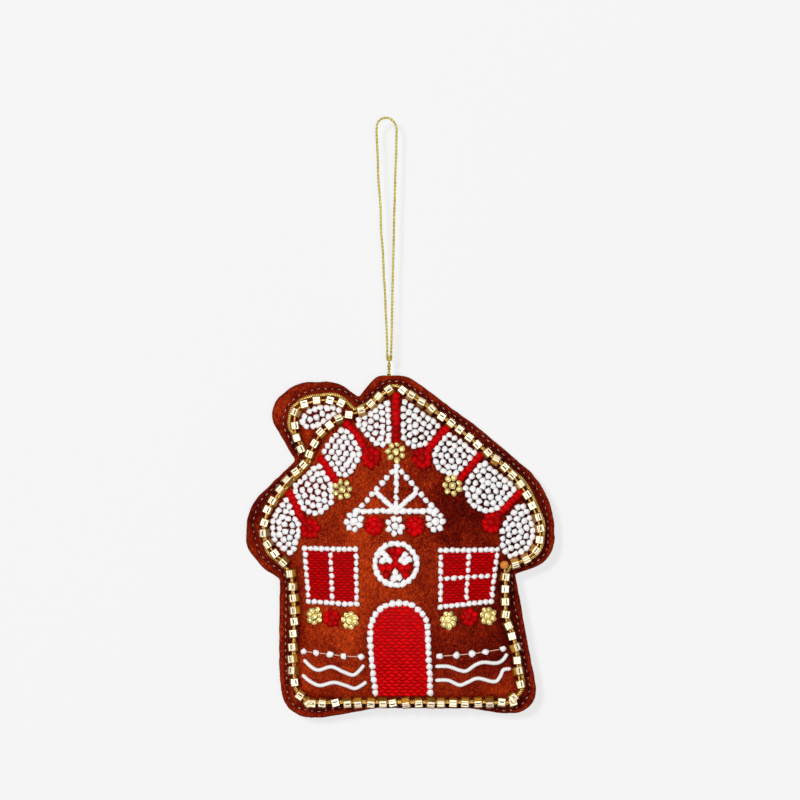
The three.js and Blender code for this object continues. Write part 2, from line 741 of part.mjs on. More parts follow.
function addBarsAndRosettes() {
  for (const name of Object.keys(barShares)) {
    if (redRosettes.includes(name)) {
      const drop = stitched([barOutlines[name], roofRosettes[name]], barPile);
      addMesh(house, `red_drop_${name}`, geometryOf(drop), "red");
    } else {
      const bar = stitched([barOutlines[name]], barPile, [roofRosettes[name]]);
      addMesh(house, `red_bar_${name}`, geometryOf(bar), "red");
      const rosette = stitched([roofRosettes[name]], rosettePile);
      addMesh(house, `gold_rosette_${name}`, geometryOf(rosette), "goldKnot");
    }
  }
}

const windowOutlines = Object.fromEntries(
  Object.entries(windowShares).map(([name, shares]) => [name, roundedOutline(shares)]),
);

function addScallops() {
  const frames = Object.values(windowOutlines).map((outline) => grown(outline, knotWidth / 2));
  const avoided = Object.values(barOutlines).concat(Object.values(roofRosettes), frames);
  for (const [name, shares] of Object.entries(scallopShares)) {
    const fill = stitched([roundedOutline(shares)], scallopPile, avoided);
    addMesh(house, `icing_scallop_${name}`, geometryOf(fill), "white");
  }
  const snow = stitched([roundedOutline(chimneySnowShares)], scallopPile, avoided);
  addMesh(house, "chimney_snow", geometryOf(snow), "white");
}

// Gable: a triangle of knots with three spokes, and the row of rosettes under it
function addGable() {
  const rosettes = Object.fromEntries(
    Object.entries(gableRowShares).map(([name, shares]) => [name, rosetteOutline(shares, rosetteRadius)]),
  );
  const outline = roundedOutline(gableShares);
  const hub = place(gableHubShares);
  const spokes = gableSpokeShares.map((shares) => bandAlong([place(shares), hub], knotWidth));
  const sides = prism(grown(outline, knotWidth / 2)).subtract(prism(grown(outline, -knotWidth / 2)));
  const ends = Object.entries(gableEndCorners).flatMap(([name, corner]) => [
    rosettes[name],
    bandAlong([place(corner), place(gableRowShares[name])], knotWidth),
  ]);
  const rosetteRoom = prism(grown(roofRosettes.centre, restGap));
  const trim = joined([sides, ...[...spokes, ...ends].map(prism)]).subtract(rosetteRoom)
    .intersect(coverLayer(0, framePile));
  addMesh(house, "gable_trim", geometryOf(trim), "white");
  addMesh(house, "gable_rosette_middle", geometryOf(stitched([rosettes.middle], framePile)), "white");
  for (const side of ["left_red", "right_red"]) {
    addMesh(house, `gable_rosette_${side}`, geometryOf(stitched([rosettes[side]], barPile)), "red");
  }
}

// Round window: three red lobes on a hub, inside a white ring with three white lobes
function redLobeOutline(centre) {
  return [0, 1, 2].flatMap((lobe) => {
    const axis = Math.PI / 2 + (2 * Math.PI * lobe) / 3;
    const polar = (radiusShare, angle) => (
      new THREE.Vector2(roundWindowRadius * radiusShare).rotateAround(new THREE.Vector2(), angle).add(centre)
    );
    const arc = Array.from({ length: pointsPerLobe }, (_, i) => (
      polar(redLobeRadiusShare, axis + redLobeHalfAngle * ((2 * i) / (pointsPerLobe - 1) - 1))
    ));
    return arc.concat([polar(redHubRadiusShare, axis + Math.PI / 3)]);
  });
}

function addRoundWindow() {
  const centre = place(roundWindowShares);
  const red = redLobeOutline(centre);
  const disc = circleAt(centre, roundWindowRadius + knotWidth / 2, wrapSides);
  addMesh(house, "round_window_red", geometryOf(stitched([red], fillPile)), "red");
  addMesh(house, "round_window_white", geometryOf(stitched([disc], framePile, [red])), "white");
}

// Square windows: a frame of knots with its glazing bars over a satin-stitched fill
function addWindows() {
  for (const [name, outline] of Object.entries(windowOutlines)) {
    const [a, b, c, d] = windowShares[name].map(place);
    const half = (from, to) => from.clone().lerp(to, 0.5);
    const lines = [[half(a, b), half(c, d)]];
    if (name === "right") lines.push([half(b, c), half(d, a)]);
    const barSolids = lines.map((line) => prism(bandAlong(line, knotWidth)));
    const glazing = joined(barSolids).intersect(coverLayer(fillPile + restGap, framePile));
    const ring = prism(grown(outline, knotWidth / 2)).subtract(prism(grown(outline, -knotWidth / 2)));
    const frame = ring.intersect(coverLayer(0, framePile)).add(glazing.intersect(prism(outline)));
    addMesh(house, `window_frame_${name}`, geometryOf(frame), "white");
    const fill = stitched([grown(outline, -(knotWidth / 2 + restGap))], fillPile);
    addMesh(house, `window_fill_${name}`, geometryOf(fill), "red");
  }
}

function addWindowRosettes() {
  for (const [side, row] of Object.entries(windowRosetteShares)) {
    row.forEach((shares, i) => {
      const outline = rosetteOutline(shares, smallRosetteRadius);
      const [colour, pile] = i === 1 ? ["red", barPile] : ["goldKnot", rosettePile];
      addMesh(house, `sill_rosette_${side}_${i + 1}`, geometryOf(stitched([outline], pile)), colour);
    });
  }
}

function addDoor() {
  const arch = roundedOutline(doorShares).reverse();
  const start = arch.findIndex((point) => point.distanceTo(place(doorShares[0])) < restGap);
  const line = arch.slice(start).concat(arch.slice(0, start));
  const border = stitched([bandAlong(line, knotWidth).reverse()], framePile);
  addMesh(house, "door_border", geometryOf(border), "white");
  const fill = stitched([grown(roundedOutline(doorShares), -(knotWidth / 2 + restGap))], fillPile);
  addMesh(house, "door_fill", geometryOf(fill), "red");
}

function addStitchedLines() {
  for (const [name, shares] of Object.entries(waveShares)) {
    const wave = stitched([bandAlong(smoothLine(shares, 2), waveWidth)], wavePile);
    addMesh(house, `icing_wave_${name}`, geometryOf(wave), "white");
  }
  for (const [side, shares] of Object.entries(garlandShares)) {
    const knots = shares.map((share) => circleAt(place(share), garlandKnotRadius, cordSides));
    const thread = bandAlong(shares.map(place), garlandThread);
    addMesh(house, `garland_${side}`, geometryOf(stitched([thread, ...knots], wavePile)), "white");
  }
}

// Free cord from the whipping up over the crest and down again, in the hanging frame
function addLoop(loopEnd) {
  const spread = loopStrandSpacing / 2;
  const point = ([x, z]) => new THREE.Vector3(x, 0, z);
  const route = [
    [neckOffset - spread, loopEnd],
    ...loopLeftRoute.toReversed(),
    loopCrest,
    ...loopRightRoute,
    [neckOffset + spread, loopEnd],
  ];
  const section = new THREE.Shape(circleAt(new THREE.Vector2(), cordRadius, cordSides));
  const geometry = new THREE.ExtrudeGeometry(section, {
    steps: loopSteps,
    bevelEnabled: false,
    extrudePath: new THREE.CatmullRomCurve3(route.map(point)),
  });
  addMesh(hanging, "hanging_loop", geometry, "gold");
}

addPanels();
addStuffing();
addSeamThreads();
addEdgeCord();
addStrands();
addScallops();
addBarsAndRosettes();
addGable();
addRoundWindow();
addWindows();
addWindowRosettes();
addDoor();
addStitchedLines();
addNeck();

// The sheet stands upright under the loop, with the neck below the crest
house.rotation.x = Math.PI / 2;
house.position.set(neckOffset - neckX, 0, -loopDrop - houseHeight);
const loopEnd = whippingBottom + whippingHeight + restGap + house.position.z;
addLoop(loopEnd);

const ornament = new THREE.Group();
ornament.add(house, hanging);
export default ornament;
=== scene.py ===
"""Felt gingerbread house that hangs from a gold cord, with beads and embroidery."""

import math
import random

import bmesh
import bpy
import numpy as np
from bpy.props import FloatProperty, FloatVectorProperty, IntProperty, PointerProperty
from mathutils import Matrix, Vector, noise
from mathutils.bvhtree import BVHTree
from mathutils.geometry import delaunay_2d_cdt


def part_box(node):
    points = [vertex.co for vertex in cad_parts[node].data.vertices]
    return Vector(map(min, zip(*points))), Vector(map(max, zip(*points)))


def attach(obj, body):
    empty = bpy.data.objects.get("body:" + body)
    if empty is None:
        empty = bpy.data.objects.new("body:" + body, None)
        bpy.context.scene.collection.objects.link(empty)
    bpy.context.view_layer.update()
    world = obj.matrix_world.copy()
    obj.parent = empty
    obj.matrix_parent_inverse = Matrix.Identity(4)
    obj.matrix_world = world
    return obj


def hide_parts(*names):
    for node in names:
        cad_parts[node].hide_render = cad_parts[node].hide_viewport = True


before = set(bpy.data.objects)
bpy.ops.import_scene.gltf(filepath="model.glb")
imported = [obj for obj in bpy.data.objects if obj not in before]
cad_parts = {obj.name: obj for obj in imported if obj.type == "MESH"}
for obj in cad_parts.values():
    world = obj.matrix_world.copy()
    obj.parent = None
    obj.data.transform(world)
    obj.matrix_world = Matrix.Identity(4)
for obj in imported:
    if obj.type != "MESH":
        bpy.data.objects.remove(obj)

bl_info = {
    "name": "Felt Gingerbread House",
    "version": (1, 0, 0),
    "blender": (4, 5, 0),
    "location": "View3D > Sidebar > House",
    "description": "Dresses the packed frame of a beaded felt house",
    "category": "Add Mesh",
}

MM = 0.001
QUARTER_TURN = math.radians(90)

# The sheet that the house is drawn on: its width, height and place under the loop
WIDTH = 103.3 * MM
HEIGHT = 114.3 * MM
MIDDLE_X = 4.164 * MM
FOOT_Z = -199.6 * MM
# The felt's face at its margin, from the middle of the thickness, and its crown over that
MARGIN_FACE = 1.35 * MM
CROWN = 7.5 * MM
WELL_IN_FRONT = -50 * MM
# Where the house is stuffed fullest, in thousandths of the sheet
PILLOW_CENTRE = (0, 522)

# Closed outlines: corner points in thousandths of the sheet, and each corner's radius in
# thousandths of its width
EDGE = [
    (-76, 998, 45), (26, 997, 90), (252, 847, 387), (498, 659, 271), (498, 459, 97), (371, 420, 6),
    (455, 13, 77), (339, 13, 65), (226, 28, 194), (-71, 29, 97), (-252, 1, 52), (-377, 0, 97),
    (-390, 160, 194), (-387, 405, 10), (-442, 437, 71), (-497, 499, 77), (-494, 614, 168),
    (-337, 751, 10), (-416, 870, 70), (-406, 925, 80), (-329, 979, 120), (-203, 981, 110),
    (-133, 935, 5),
]
SEAM = [
    (-48, 981, 39), (10, 981, 65), (252, 834, 290), (477, 650, 232), (477, 464, 77), (361, 434, 10),
    (361, 370, 97), (426, 52, 71), (348, 19, 58), (258, 38, 97), (-155, 38, 97), (-265, 19, 58),
    (-361, 32, 65), (-369, 201, 194), (-366, 376, 65), (-373, 421, 13), (-452, 475, 71),
    (-477, 563, 77), (-455, 630, 97), (-316, 748, 13), (-379, 854, 65), (-369, 905, 65),
    (-325, 943, 84), (-265, 960, 110), (-184, 958, 71), (-127, 916, 10),
]
EDGE_CORD = [
    (-10, 967, 10), (39, 946, 32), (161, 862, 194), (290, 768, 194), (403, 691, 161),
    (463, 569, 84), (453, 478, 65), (358, 449, 26), (339, 423, 16), (339, 312, 52), (365, 242, 65),
    (400, 90, 52), (348, 44, 45), (290, 51, 65), (-284, 51, 52), (-337, 79, 52), (-340, 312, 129),
    (-348, 426, 32), (-429, 487, 52), (-440, 563, 65), (-413, 621, 65), (-287, 749, 13),
    (-313, 799, 45), (-358, 848, 40), (-350, 902, 45), (-303, 935, 77), (-200, 945, 65),
    (-145, 897, 10), (-71, 934, 45), (-26, 966, 10),
]

# Lines of the cube bead runs, in thousandths of the sheet
BEAD_RUNS = {
    "roof_left": [
        (-35, 955), (-59, 941), (-101, 907), (-142, 886), (-174, 883), (-205, 864), (-249, 835),
        (-275, 798), (-306, 740), (-359, 693), (-406, 634), (-426, 604), (-435, 566), (-433, 531),
        (-418, 503), (-395, 474), (-372, 458),
    ],
    "roof_right": [
        (6, 956), (95, 902), (187, 843), (284, 770), (346, 721), (396, 668), (434, 599), (447, 566),
        (448, 523), (426, 483), (389, 459), (372, 454),
    ],
    "chimney": [
        (-317, 786), (-332, 819), (-339, 862), (-335, 889), (-313, 910), (-284, 921), (-252, 926),
        (-211, 925), (-190, 918),
    ],
    "wall_left": [(-350, 423), (-342, 376), (-337, 312), (-342, 230), (-344, 172), (-339, 107)],
    "wall_right": [
        (385, 104), (378, 147), (369, 217), (342, 285), (337, 332), (337, 415), (335, 447),
    ],
    "base": [(-319, 70), (-292, 52), (-255, 48), (323, 50), (361, 66)],
}
ROUND_ENDED_RUN = "wall_right"

ICING = [f"icing_scallop_{side}_{i}" for side in ("left", "right") for i in range(1, 5)]
ICING.append("chimney_snow")

# Shapes of french knot, and the corners of each: turn from the first, and how far it is drawn out
KNOT_SHAPES = 6
KNOT_CORNERS = [(0, 0.44), (1.9, 0.28), (3.5, 0.34), (4.8, 0.18)]

# Places where painted shade darkens the front felt: middle, reach in thousandths, and how much
PAINTED_SHADE_PATCHES = [((190, 620), 130, 0.42), ((40, 660), 100, 0.22), ((-190, 600), 50, 0.12)]

# Lines and middles of the knots, in thousandths of the sheet
BARS = {
    "centre": [(-13, 939), (-13, 809)],
    "left_1": [(-170, 859), (-142, 830), (-124, 803), (-103, 776)],
    "left_2": [(-253, 758), (-205, 690)],
    "left_3": [(-353, 656), (-331, 616), (-320, 592), (-298, 564)],
    "right_1": [(145, 843), (84, 776)],
    "right_2": [(254, 763), (195, 701)],
    "right_3": [(385, 658), (354, 629), (328, 606), (305, 584)],
}
ROOF_ROSETTES = {
    "centre": (-14, 777), "left_1": (-92, 760), "left_2": (-185, 668), "left_3": (-288, 554),
    "right_1": (71, 758), "right_2": (168, 679), "right_3": (294, 572),
}
RED_ROSETTES = ("left_1", "left_3", "right_1", "right_3")
GABLE = [(-10, 735), (-137, 605), (115, 605)]
GABLE_HUB = (-13, 607)
GABLE_SPOKES = [(-11, 723), (-72, 656), (48, 656)]
GABLE_ROW = {
    "left_end": (-148, 575), "left_red": (-83, 564), "middle": (-15, 562), "right_red": (48, 562),
    "right_end": (114, 575),
}
ROUND_WINDOW = (-13, 452)
# Knots inside the round window, x and z in millimetres from its middle
ROUND_WINDOW_KNOTS = {
    "white": [
        (-0.2, -2.7), (-0.7, -4.7), (1.1, -4.4), (2.9, 3.1), (1.8, 1.3), (4.2, 1.6),
        (2.9, 0.7), (-4.4, 3.8), (-3.3, 2.7), (-2.2, 1.3), (-4.4, 1.1),
    ],
    "red": [
        (0, 0), (-1.3, 4.2), (0.9, 4.4), (-0.2, 2.0), (-4.4, -1.3), (-2.2, -1.1),
        (-3.3, -3.6), (2.0, -1.3), (4.0, -0.9), (3.3, -3.6),
    ],
}
WINDOWS = {
    "left": [(-305, 497), (-142, 495), (-138, 336), (-294, 343)],
    "right": [(130, 492), (313, 493), (293, 343), (130, 329)],
}
SILL_ROSETTES = {
    "left": [(-275, 301), (-219, 296), (-160, 289)],
    "right": [(156, 289), (223, 299), (283, 301)],
}
DOOR = [(-79, 77, 0), (-95, 216, 194), (-94, 340, 87), (87, 340, 87), (90, 216, 194), (98, 77, 0)]
WAVES = {
    "left_upper": [
        (-309, 174), (-286, 154), (-261, 144), (-220, 154), (-183, 140), (-150, 130), (-129, 144),
        (-115, 160),
    ],
    "left_lower": [
        (-314, 130), (-290, 112), (-257, 99), (-213, 108), (-175, 99), (-146, 90), (-124, 99),
        (-107, 110),
    ],
    "right_upper": [
        (113, 155), (154, 155), (191, 144), (213, 142), (243, 160), (269, 167), (306, 164),
        (328, 171), (345, 191),
    ],
    "right_lower": [
        (113, 114), (154, 114), (191, 100), (217, 108), (250, 120), (302, 110), (321, 124),
        (332, 144), (356, 147),
    ],
}
GARLANDS = {
    "left": [(-309, 197), (-269, 194), (-225, 190), (-181, 185), (-124, 183)],
    "right": [(127, 185), (181, 188), (231, 192), (275, 197), (331, 205)],
}

# The loop's route over its crest, x and z in millimetres
LOOP_ROUTE = [
    (-0.2, -71.5), (-0.57, -64.33), (-0.8, -58), (-1.2, -52.33), (-1.5, -44.67), (-2.1, -37),
    (-2.33, -28.67), (-2.97, -21), (-3.23, -12.67), (-3.43, -2), (-0.2, 0.4), (2.77, -2), (3, -7),
    (2.9, -11.67), (2.63, -19), (2.43, -27), (2.2, -34.33), (2.07, -42), (1.87, -49.67),
    (1.7, -56), (1.55, -63), (1.4, -71.5),
]
# The neck's place, and from there to each of its two strands
NECK_X = 0.6 * MM
STRAND_SPREAD = 0.625 * MM
# From a joint of the neck to the cords' ends in the frame, the radius of the neck's ends, which
# are round about their joints, and the space that the next cord leaves there
JOINT_GAP = 0.25 * MM
ROUND_END = 0.62 * MM
END_SPACE = 0.04 * MM

# Middle and width of the picture
PICTURE_CENTRE = (4.17 * MM, 0, -93.67 * MM)
PICTURE_PIXELS = 800

# From row to row of even triangles, as a share of their sides
ROW_SHARE = 0.866

# The cloth run that fills out the stuffed felt, larger than life, and how far it may move a point
CLOTH_SCALE = 10
CLOTH_STEP = 2.4 * MM
CLOTH_FRAMES = 20
CLOTH = {
    "quality": 6, "mass": 0.3, "tension_stiffness": 28, "compression_stiffness": 10,
    "shear_stiffness": 6, "bending_stiffness": 0.3, "use_pressure": True,
    "uniform_pressure_force": 4, "vertex_group_mass": "seam",
}
MOST_LIFT = 1.1 * MM
MOST_SAG = 0.3 * MM

# Linings of the cubes: how far the dark slit, a painted reflection, lies off the middle, and the
# lining itself, in sides of a cube. Then the places of the finishes in a strand of beads, after
# the clear glass
LININGS = [(0.15, 0.04), (-0.13, -0.05), (0.06, 0.06), (-0.05, 0), (0, -0.04)]
LINING, REFLECTION_SLIT, GILDED, AMBER = range(1, 5)


# Points on the sheet and lines through them

def place(mark):
    """Point of the sheet, given in thousandths of it, as x and z in metres."""
    return np.array([MIDDLE_X + mark[0] / 1000 * WIDTH, FOOT_Z + mark[1] / 1000 * HEIGHT])


def unit(ways):
    """The same ways, each of length 1."""
    return ways / np.linalg.norm(ways, axis=1)[:, None]


def evened(values):
    """Values round a closed line, each the mean of itself and its neighbours."""
    return (values + np.roll(values, 1) + np.roll(values, -1)) / 3


def rounded(marks, step=0.12):
    """Closed outline through corner points, with each corner rounded to its radius."""
    corners = [place(m) for m in marks]
    points = []
    for i, corner in enumerate(corners):
        back = corners[i - 1] - corner
        ahead = corners[(i + 1) % len(corners)] - corner
        back /= np.linalg.norm(back)
        ahead /= np.linalg.norm(ahead)
        half = math.acos(max(-1, min(1, float(back @ ahead)))) / 2
        turn = math.pi - 2 * half
        radius = marks[i][2] / 1000 * WIDTH
        if radius == 0 or turn < step / 2:
            points.append(corner)
            continue
        middle = (back + ahead) / np.linalg.norm(back + ahead)
        centre = corner + middle * radius / math.sin(half)
        side = math.copysign(1, back[0] * ahead[1] - back[1] * ahead[0])
        count = math.ceil(turn / step)
        for k in range(count + 1):
            swing = -side * (k / count - 0.5) * turn
            c, s = math.cos(swing), math.sin(swing)
            arm = -radius * middle
            points.append(centre + np.array([c * arm[0] - s * arm[1], s * arm[0] + c * arm[1]]))
    points = np.array(points)
    ahead = np.roll(points, -1, 0)
    area = (points[:, 0] * ahead[:, 1] - ahead[:, 0] * points[:, 1]).sum()
    return points if area > 0 else points[::-1]


def smooth_line(points, parts=12):
    """Catmull-Rom line through open points of any dimension."""
    points = [np.asarray(p, float) for p in points]
    padded = [2 * points[0] - points[1], *points, 2 * points[-1] - points[-2]]
    line = []
    for a, b, c, d in zip(padded, padded[1:], padded[2:], padded[3:]):
        for k in range(parts):
            t = k / parts
            line.append(0.5 * (
                2 * b + (c - a) * t + (2 * a - 5 * b + 4 * c - d) * t ** 2
                + (3 * b - a - 3 * c + d) * t ** 3
            ))
    return np.array([*line, points[-1]])


def sheet_line(marks):
    return smooth_line([place(m) for m in marks])


def spaced(points, pitch, closed=False):
    """The line again, in steps of about the pitch, with the direction at each point."""
    points = np.asarray(points)
    if closed:
        points = np.vstack([points, points[:1]])
    lengths = np.linalg.norm(np.diff(points, axis=0), axis=1)
    along = np.concatenate([[0], np.cumsum(lengths)])
    at = np.linspace(0, along[-1], max(1, round(along[-1] / pitch)) + 1)
    if closed:
        at = at[:-1]

    def found(lengths):
        return np.stack([np.interp(lengths, along, part) for part in points.T], 1)

    reach = 0.2 * pitch
    return found(at), unit(found(at + reach) - found(at - reach))


def distance_to(points, loop):
    """Distance of each point from a closed line."""
    best = np.full(len(points), 1e9)
    for a, b in zip(loop, np.roll(loop, -1, 0)):
        side = b - a
        share = np.clip(((points - a) @ side) / max(side @ side, 1e-18), 0, 1)
        best = np.minimum(best, np.linalg.norm(points - a - share[:, None] * side, axis=1))
    return best


def inside(points, loop):
    """Which points lie inside a closed line."""
    found = np.zeros(len(points), bool)
    for a, b in zip(loop, np.roll(loop, -1, 0)):
        crosses = (a[1] > points[:, 1]) != (b[1] > points[:, 1])
        if abs(b[1] - a[1]) > 1e-15:
            cut = a[0] + (points[:, 1] - a[1]) / (b[1] - a[1]) * (b[0] - a[0])
            found ^= crosses & (points[:, 0] < cut)
    return found


def grown(loop, amount):
    """Anticlockwise outline moved outwards by an amount."""
    before = unit(loop - np.roll(loop, 1, 0))
    after = unit(np.roll(loop, -1, 0) - loop)
    way = unit(before + after)
    reach = amount / np.maximum(0.5, (way * after).sum(1))
    return loop + np.stack([way[:, 1], -way[:, 0]], 1) * reach[:, None]


def outline_of(node):
    """Longest outline of a CAD node's front, as a loop of x and z."""
    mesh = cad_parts[node].data
    corner = {}
    edges = {}
    for face in mesh.polygons:
        if face.normal.y > -0.3:
            continue
        keys = []
        for index in face.vertices:
            co = mesh.vertices[index].co
            key = (round(co.x * 2e5), round(co.z * 2e5))
            corner[key] = (co.x, co.z)
            keys.append(key)
        for a, b in zip(keys, keys[1:] + keys[:1]):
            if a != b and edges.pop((b, a), None) is None:
                edges[(a, b)] = True
    after = {}
    for a, b in edges:
        after.setdefault(a, []).append(b)
    loops = []
    while after:
        start = next(iter(after))
        loop, at = [], start
        while at in after:
            loop.append(corner[at])
            ahead = after[at].pop()
            if not after[at]:
                del after[at]
            at = ahead
            if at == start:
                break
        loops.append(np.array(loop))
    loops = [loop for loop in loops if len(loop) > 3]
    return max(loops, key=lambda loop: np.ptp(loop[:, 0]) + np.ptp(loop[:, 1]))


# Meshes

def deselect():
    for other in bpy.context.selected_objects:
        other.select_set(False)


def pick(made, *others):
    """Select objects as by hand, the first of them active."""
    deselect()
    for each in (*others, made):
        each.select_set(True)
    bpy.context.view_layer.objects.active = made


def join(made, others):
    """Join other objects into a piece."""
    pick(made, *others)
    bpy.ops.object.join()
    deselect()


def start_editing(made):
    pick(made)
    bpy.ops.object.mode_set(mode="EDIT")
    bpy.ops.mesh.select_all(action="SELECT")


def end_editing(made):
    bpy.ops.object.mode_set(mode="OBJECT")
    made.select_set(False)


def lay_down():
    """Turn what is edited from upright to lying along x."""
    bpy.ops.transform.rotate(value=QUARTER_TURN, orient_axis="Y", center_override=(0, 0, 0))


def select_edges(made, wanted):
    """Select the edges of what is edited whose every point is wanted."""
    sheet = bmesh.from_edit_mesh(made.data)
    for edge in sheet.edges:
        edge.select_set(all(wanted(v) for v in edge.verts))
    sheet.select_flush_mode()


def smooth(made):
    made.data.polygons.foreach_set("use_smooth", [True] * len(made.data.polygons))


def mesh_object(name, points, faces):
    """New object at the origin with its place in its mesh."""
    mesh = bpy.data.meshes.new(name)
    mesh.from_pydata([tuple(p) for p in points], [], [tuple(f) for f in faces])
    mesh.validate()
    made = bpy.data.objects.new(name, mesh)
    bpy.context.scene.collection.objects.link(made)
    smooth(made)
    return made


def give_numbers(made, name, numbers):
    """A number for each point of the mesh, or one for all, which its material reads."""
    attributes = made.data.attributes
    attribute = attributes.get(name) or attributes.new(name, "FLOAT", "POINT")
    every = np.broadcast_to(np.asarray(numbers, np.float32), len(made.data.vertices))
    attribute.data.foreach_set("value", every.copy())


def add_piece(made, body, node, slot, *materials):
    """The piece rides on its body, stands for its CAD node and has its finish."""
    for material in materials:
        made.data.materials.append(material)
    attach(made, body)
    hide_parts(node)


def sew(node, parts, seed, slot, material, name=None):
    """Pattern copies on the felt, as the piece that stands for one CAD node."""
    add_piece(copies(name or f"{node}_knots", parts, seed), "house", node, slot, material)


class Pattern:
    """Mesh of one small piece, which copies repeat, with a number for how its thread winds."""

    def __init__(self, made):
        mesh = made.data
        self.points = np.array([v.co for v in mesh.vertices])
        self.wrap = np.zeros(len(self.points))
        if "wrap" in mesh.attributes:
            self.wrap = np.array([v.value for v in mesh.attributes["wrap"].data])
        self.faces = [tuple(p.vertices) for p in mesh.polygons]
        self.material = [p.material_index for p in mesh.polygons]
        self.smooth = [p.use_smooth for p in mesh.polygons]
        bpy.data.objects.remove(made)


def copies(name, parts, seed):
    """One mesh of many pattern copies. Parts are (pattern, matrix) pairs."""
    chance = random.Random(seed)
    points, faces, tones, wraps, material, smooth_faces = [], [], [], [], [], []
    start = 0
    for pattern, matrix in parts:
        turn = np.array(matrix)
        points.append(pattern.points @ turn[:3, :3].T + turn[:3, 3])
        faces.extend(tuple(start + i for i in face) for face in pattern.faces)
        tones.append(np.full(len(pattern.points), chance.random()))
        wraps.append(pattern.wrap)
        material.extend(pattern.material)
        smooth_faces.extend(pattern.smooth)
        start += len(pattern.points)
    made = mesh_object(name, np.vstack(points), faces)
    made.data.polygons.foreach_set("material_index", material)
    made.data.polygons.foreach_set("use_smooth", smooth_faces)
    give_numbers(made, "tone", np.concatenate(tones))
    give_numbers(made, "wrap", np.concatenate(wraps))
    return made


def frames_along(line, closed):
    """Two directions square to a line at each point, with no twist between points."""
    ahead = np.roll(line, -1, 0) - np.roll(line, 1, 0) if closed else np.gradient(line, axis=0)
    ahead /= np.linalg.norm(ahead, axis=1)[:, None]
    side = np.cross(ahead[0], [0.0, 1.0, 0.0])
    if np.linalg.norm(side) < 0.1:
        side = np.cross(ahead[0], [1.0, 0.0, 0.0])
    sides = []
    for way in ahead:
        side = side - (side @ way) * way
        side /= np.linalg.norm(side)
        sides.append(side)
    sides = np.array(sides)
    return ahead, sides, np.cross(ahead, sides)


def tube(name, line, profile, turns_per_point=0.0, closed=False, scale=None):
    """Tube along a line, of a profile of radii that turns as it goes."""
    ahead, sides, ups = frames_along(line, closed)
    rings, count = len(line), len(profile)
    angles = 2 * np.pi * np.arange(count) / count
    twist, drift, shift = turns_per_point * 2 * np.pi, 0.0, 0
    if closed:
        way, first = sides[-1], sides[0]
        cos = float(np.clip(way @ first, -1, 1))
        drift = math.copysign(math.acos(cos), float(np.cross(way, first) @ ahead[0])) / rings
        twist = round((twist * rings) / np.pi) * np.pi / rings
        shift = round(twist * rings / (2 * np.pi / count)) % count
    points, faces = [], []
    for i, centre in enumerate(line):
        size = 1 if scale is None else scale[i]
        for angle, radius in zip(angles, profile):
            turned = angle + (twist + drift) * i
            points.append(
                centre + size * radius * (math.cos(turned) * sides[i] + math.sin(turned) * ups[i])
            )
    for i in range(rings if closed else rings - 1):
        ring, following = i * count, (i + 1) % rings * count
        step = shift if i == rings - 1 else 0
        for k in range(count):
            a, b = k, (k + 1) % count
            c, d = (b + step) % count, (a + step) % count
            faces.append((ring + a, ring + b, following + c, following + d))
    if not closed:
        faces.append(tuple(range(count))[::-1])
        faces.append(tuple((rings - 1) * count + k for k in range(count)))
    made = mesh_object(name, points, faces)
    # The groove number, highest between the plies, is painted shade in the gold finishes
    sunk = (max(profile) - profile) / max(np.ptp(profile), 1e-9)
    give_numbers(made, "groove", np.tile(sunk, rings))
    return made


def two_ply(radius, count):
    """Radii round a cord of two twisted plies."""
    offset, ply = 0.42 * radius, 0.58 * radius
    angles = 2 * np.pi * np.arange(count) / count
    return offset * np.abs(np.cos(angles)) + np.sqrt(ply ** 2 - (offset * np.sin(angles)) ** 2)


# Materials

def arithmetic(operation, reflected=False):
    """Method of a socket that adds one Math node."""
    def method(self, other):
        values = (other, self) if reflected else (self, other)
        return self.nodes.node("Math", dict(enumerate(values)), operation=operation)
    return method


class Socket:
    """Output of a shader node. Arithmetic on it adds Math nodes."""

    def __init__(self, nodes, output):
        self.nodes = nodes
        self.output = output

    __add__, __radd__ = arithmetic("ADD"), arithmetic("ADD", True)
    __sub__, __rsub__ = arithmetic("SUBTRACT"), arithmetic("SUBTRACT", True)
    __mul__, __rmul__ = arithmetic("MULTIPLY"), arithmetic("MULTIPLY", True)

    def sine(self):
        return self.nodes.node("Math", {0: self}, operation="SINE")

    def absolute(self):
        return self.nodes.node("Math", {0: self}, operation="ABSOLUTE")


class Nodes:
    """Node tree of the sky or of a finish. Every node comes from one method."""

    def __init__(self, tree, ending):
        self.tree = tree
        self.ending = tree.nodes[ending]

    def node(self, kind, inputs=None, output=0, stops=(), **choices):
        """A node of a kind, its settings first, then the values or links of its sockets."""
        made = self.tree.nodes.new(f"ShaderNode{kind}")
        for name, value in choices.items():
            setattr(made, name, value)
        for i, (position, colour) in enumerate(stops):
            held = made.color_ramp.elements
            stop = held[i] if i < 2 else held.new(position)
            stop.position = position
            stop.color = (*colour, 1)
        for name, value in (inputs or {}).items():
            self.plug(made.inputs[name], value)
        return Socket(self, made.outputs[output])

    def plug(self, socket, value):
        if isinstance(value, Socket):
            self.tree.links.new(value.output, socket)
        else:
            socket.default_value = (*value, 1) if socket.type == "RGBA" else value

    def either(self, share, first, second):
        """A share of the second shader over the first."""
        return self.node("MixShader", {0: share, 1: first, 2: second})

    def shows(self, value):
        self.plug(self.ending.inputs["Surface"], value)


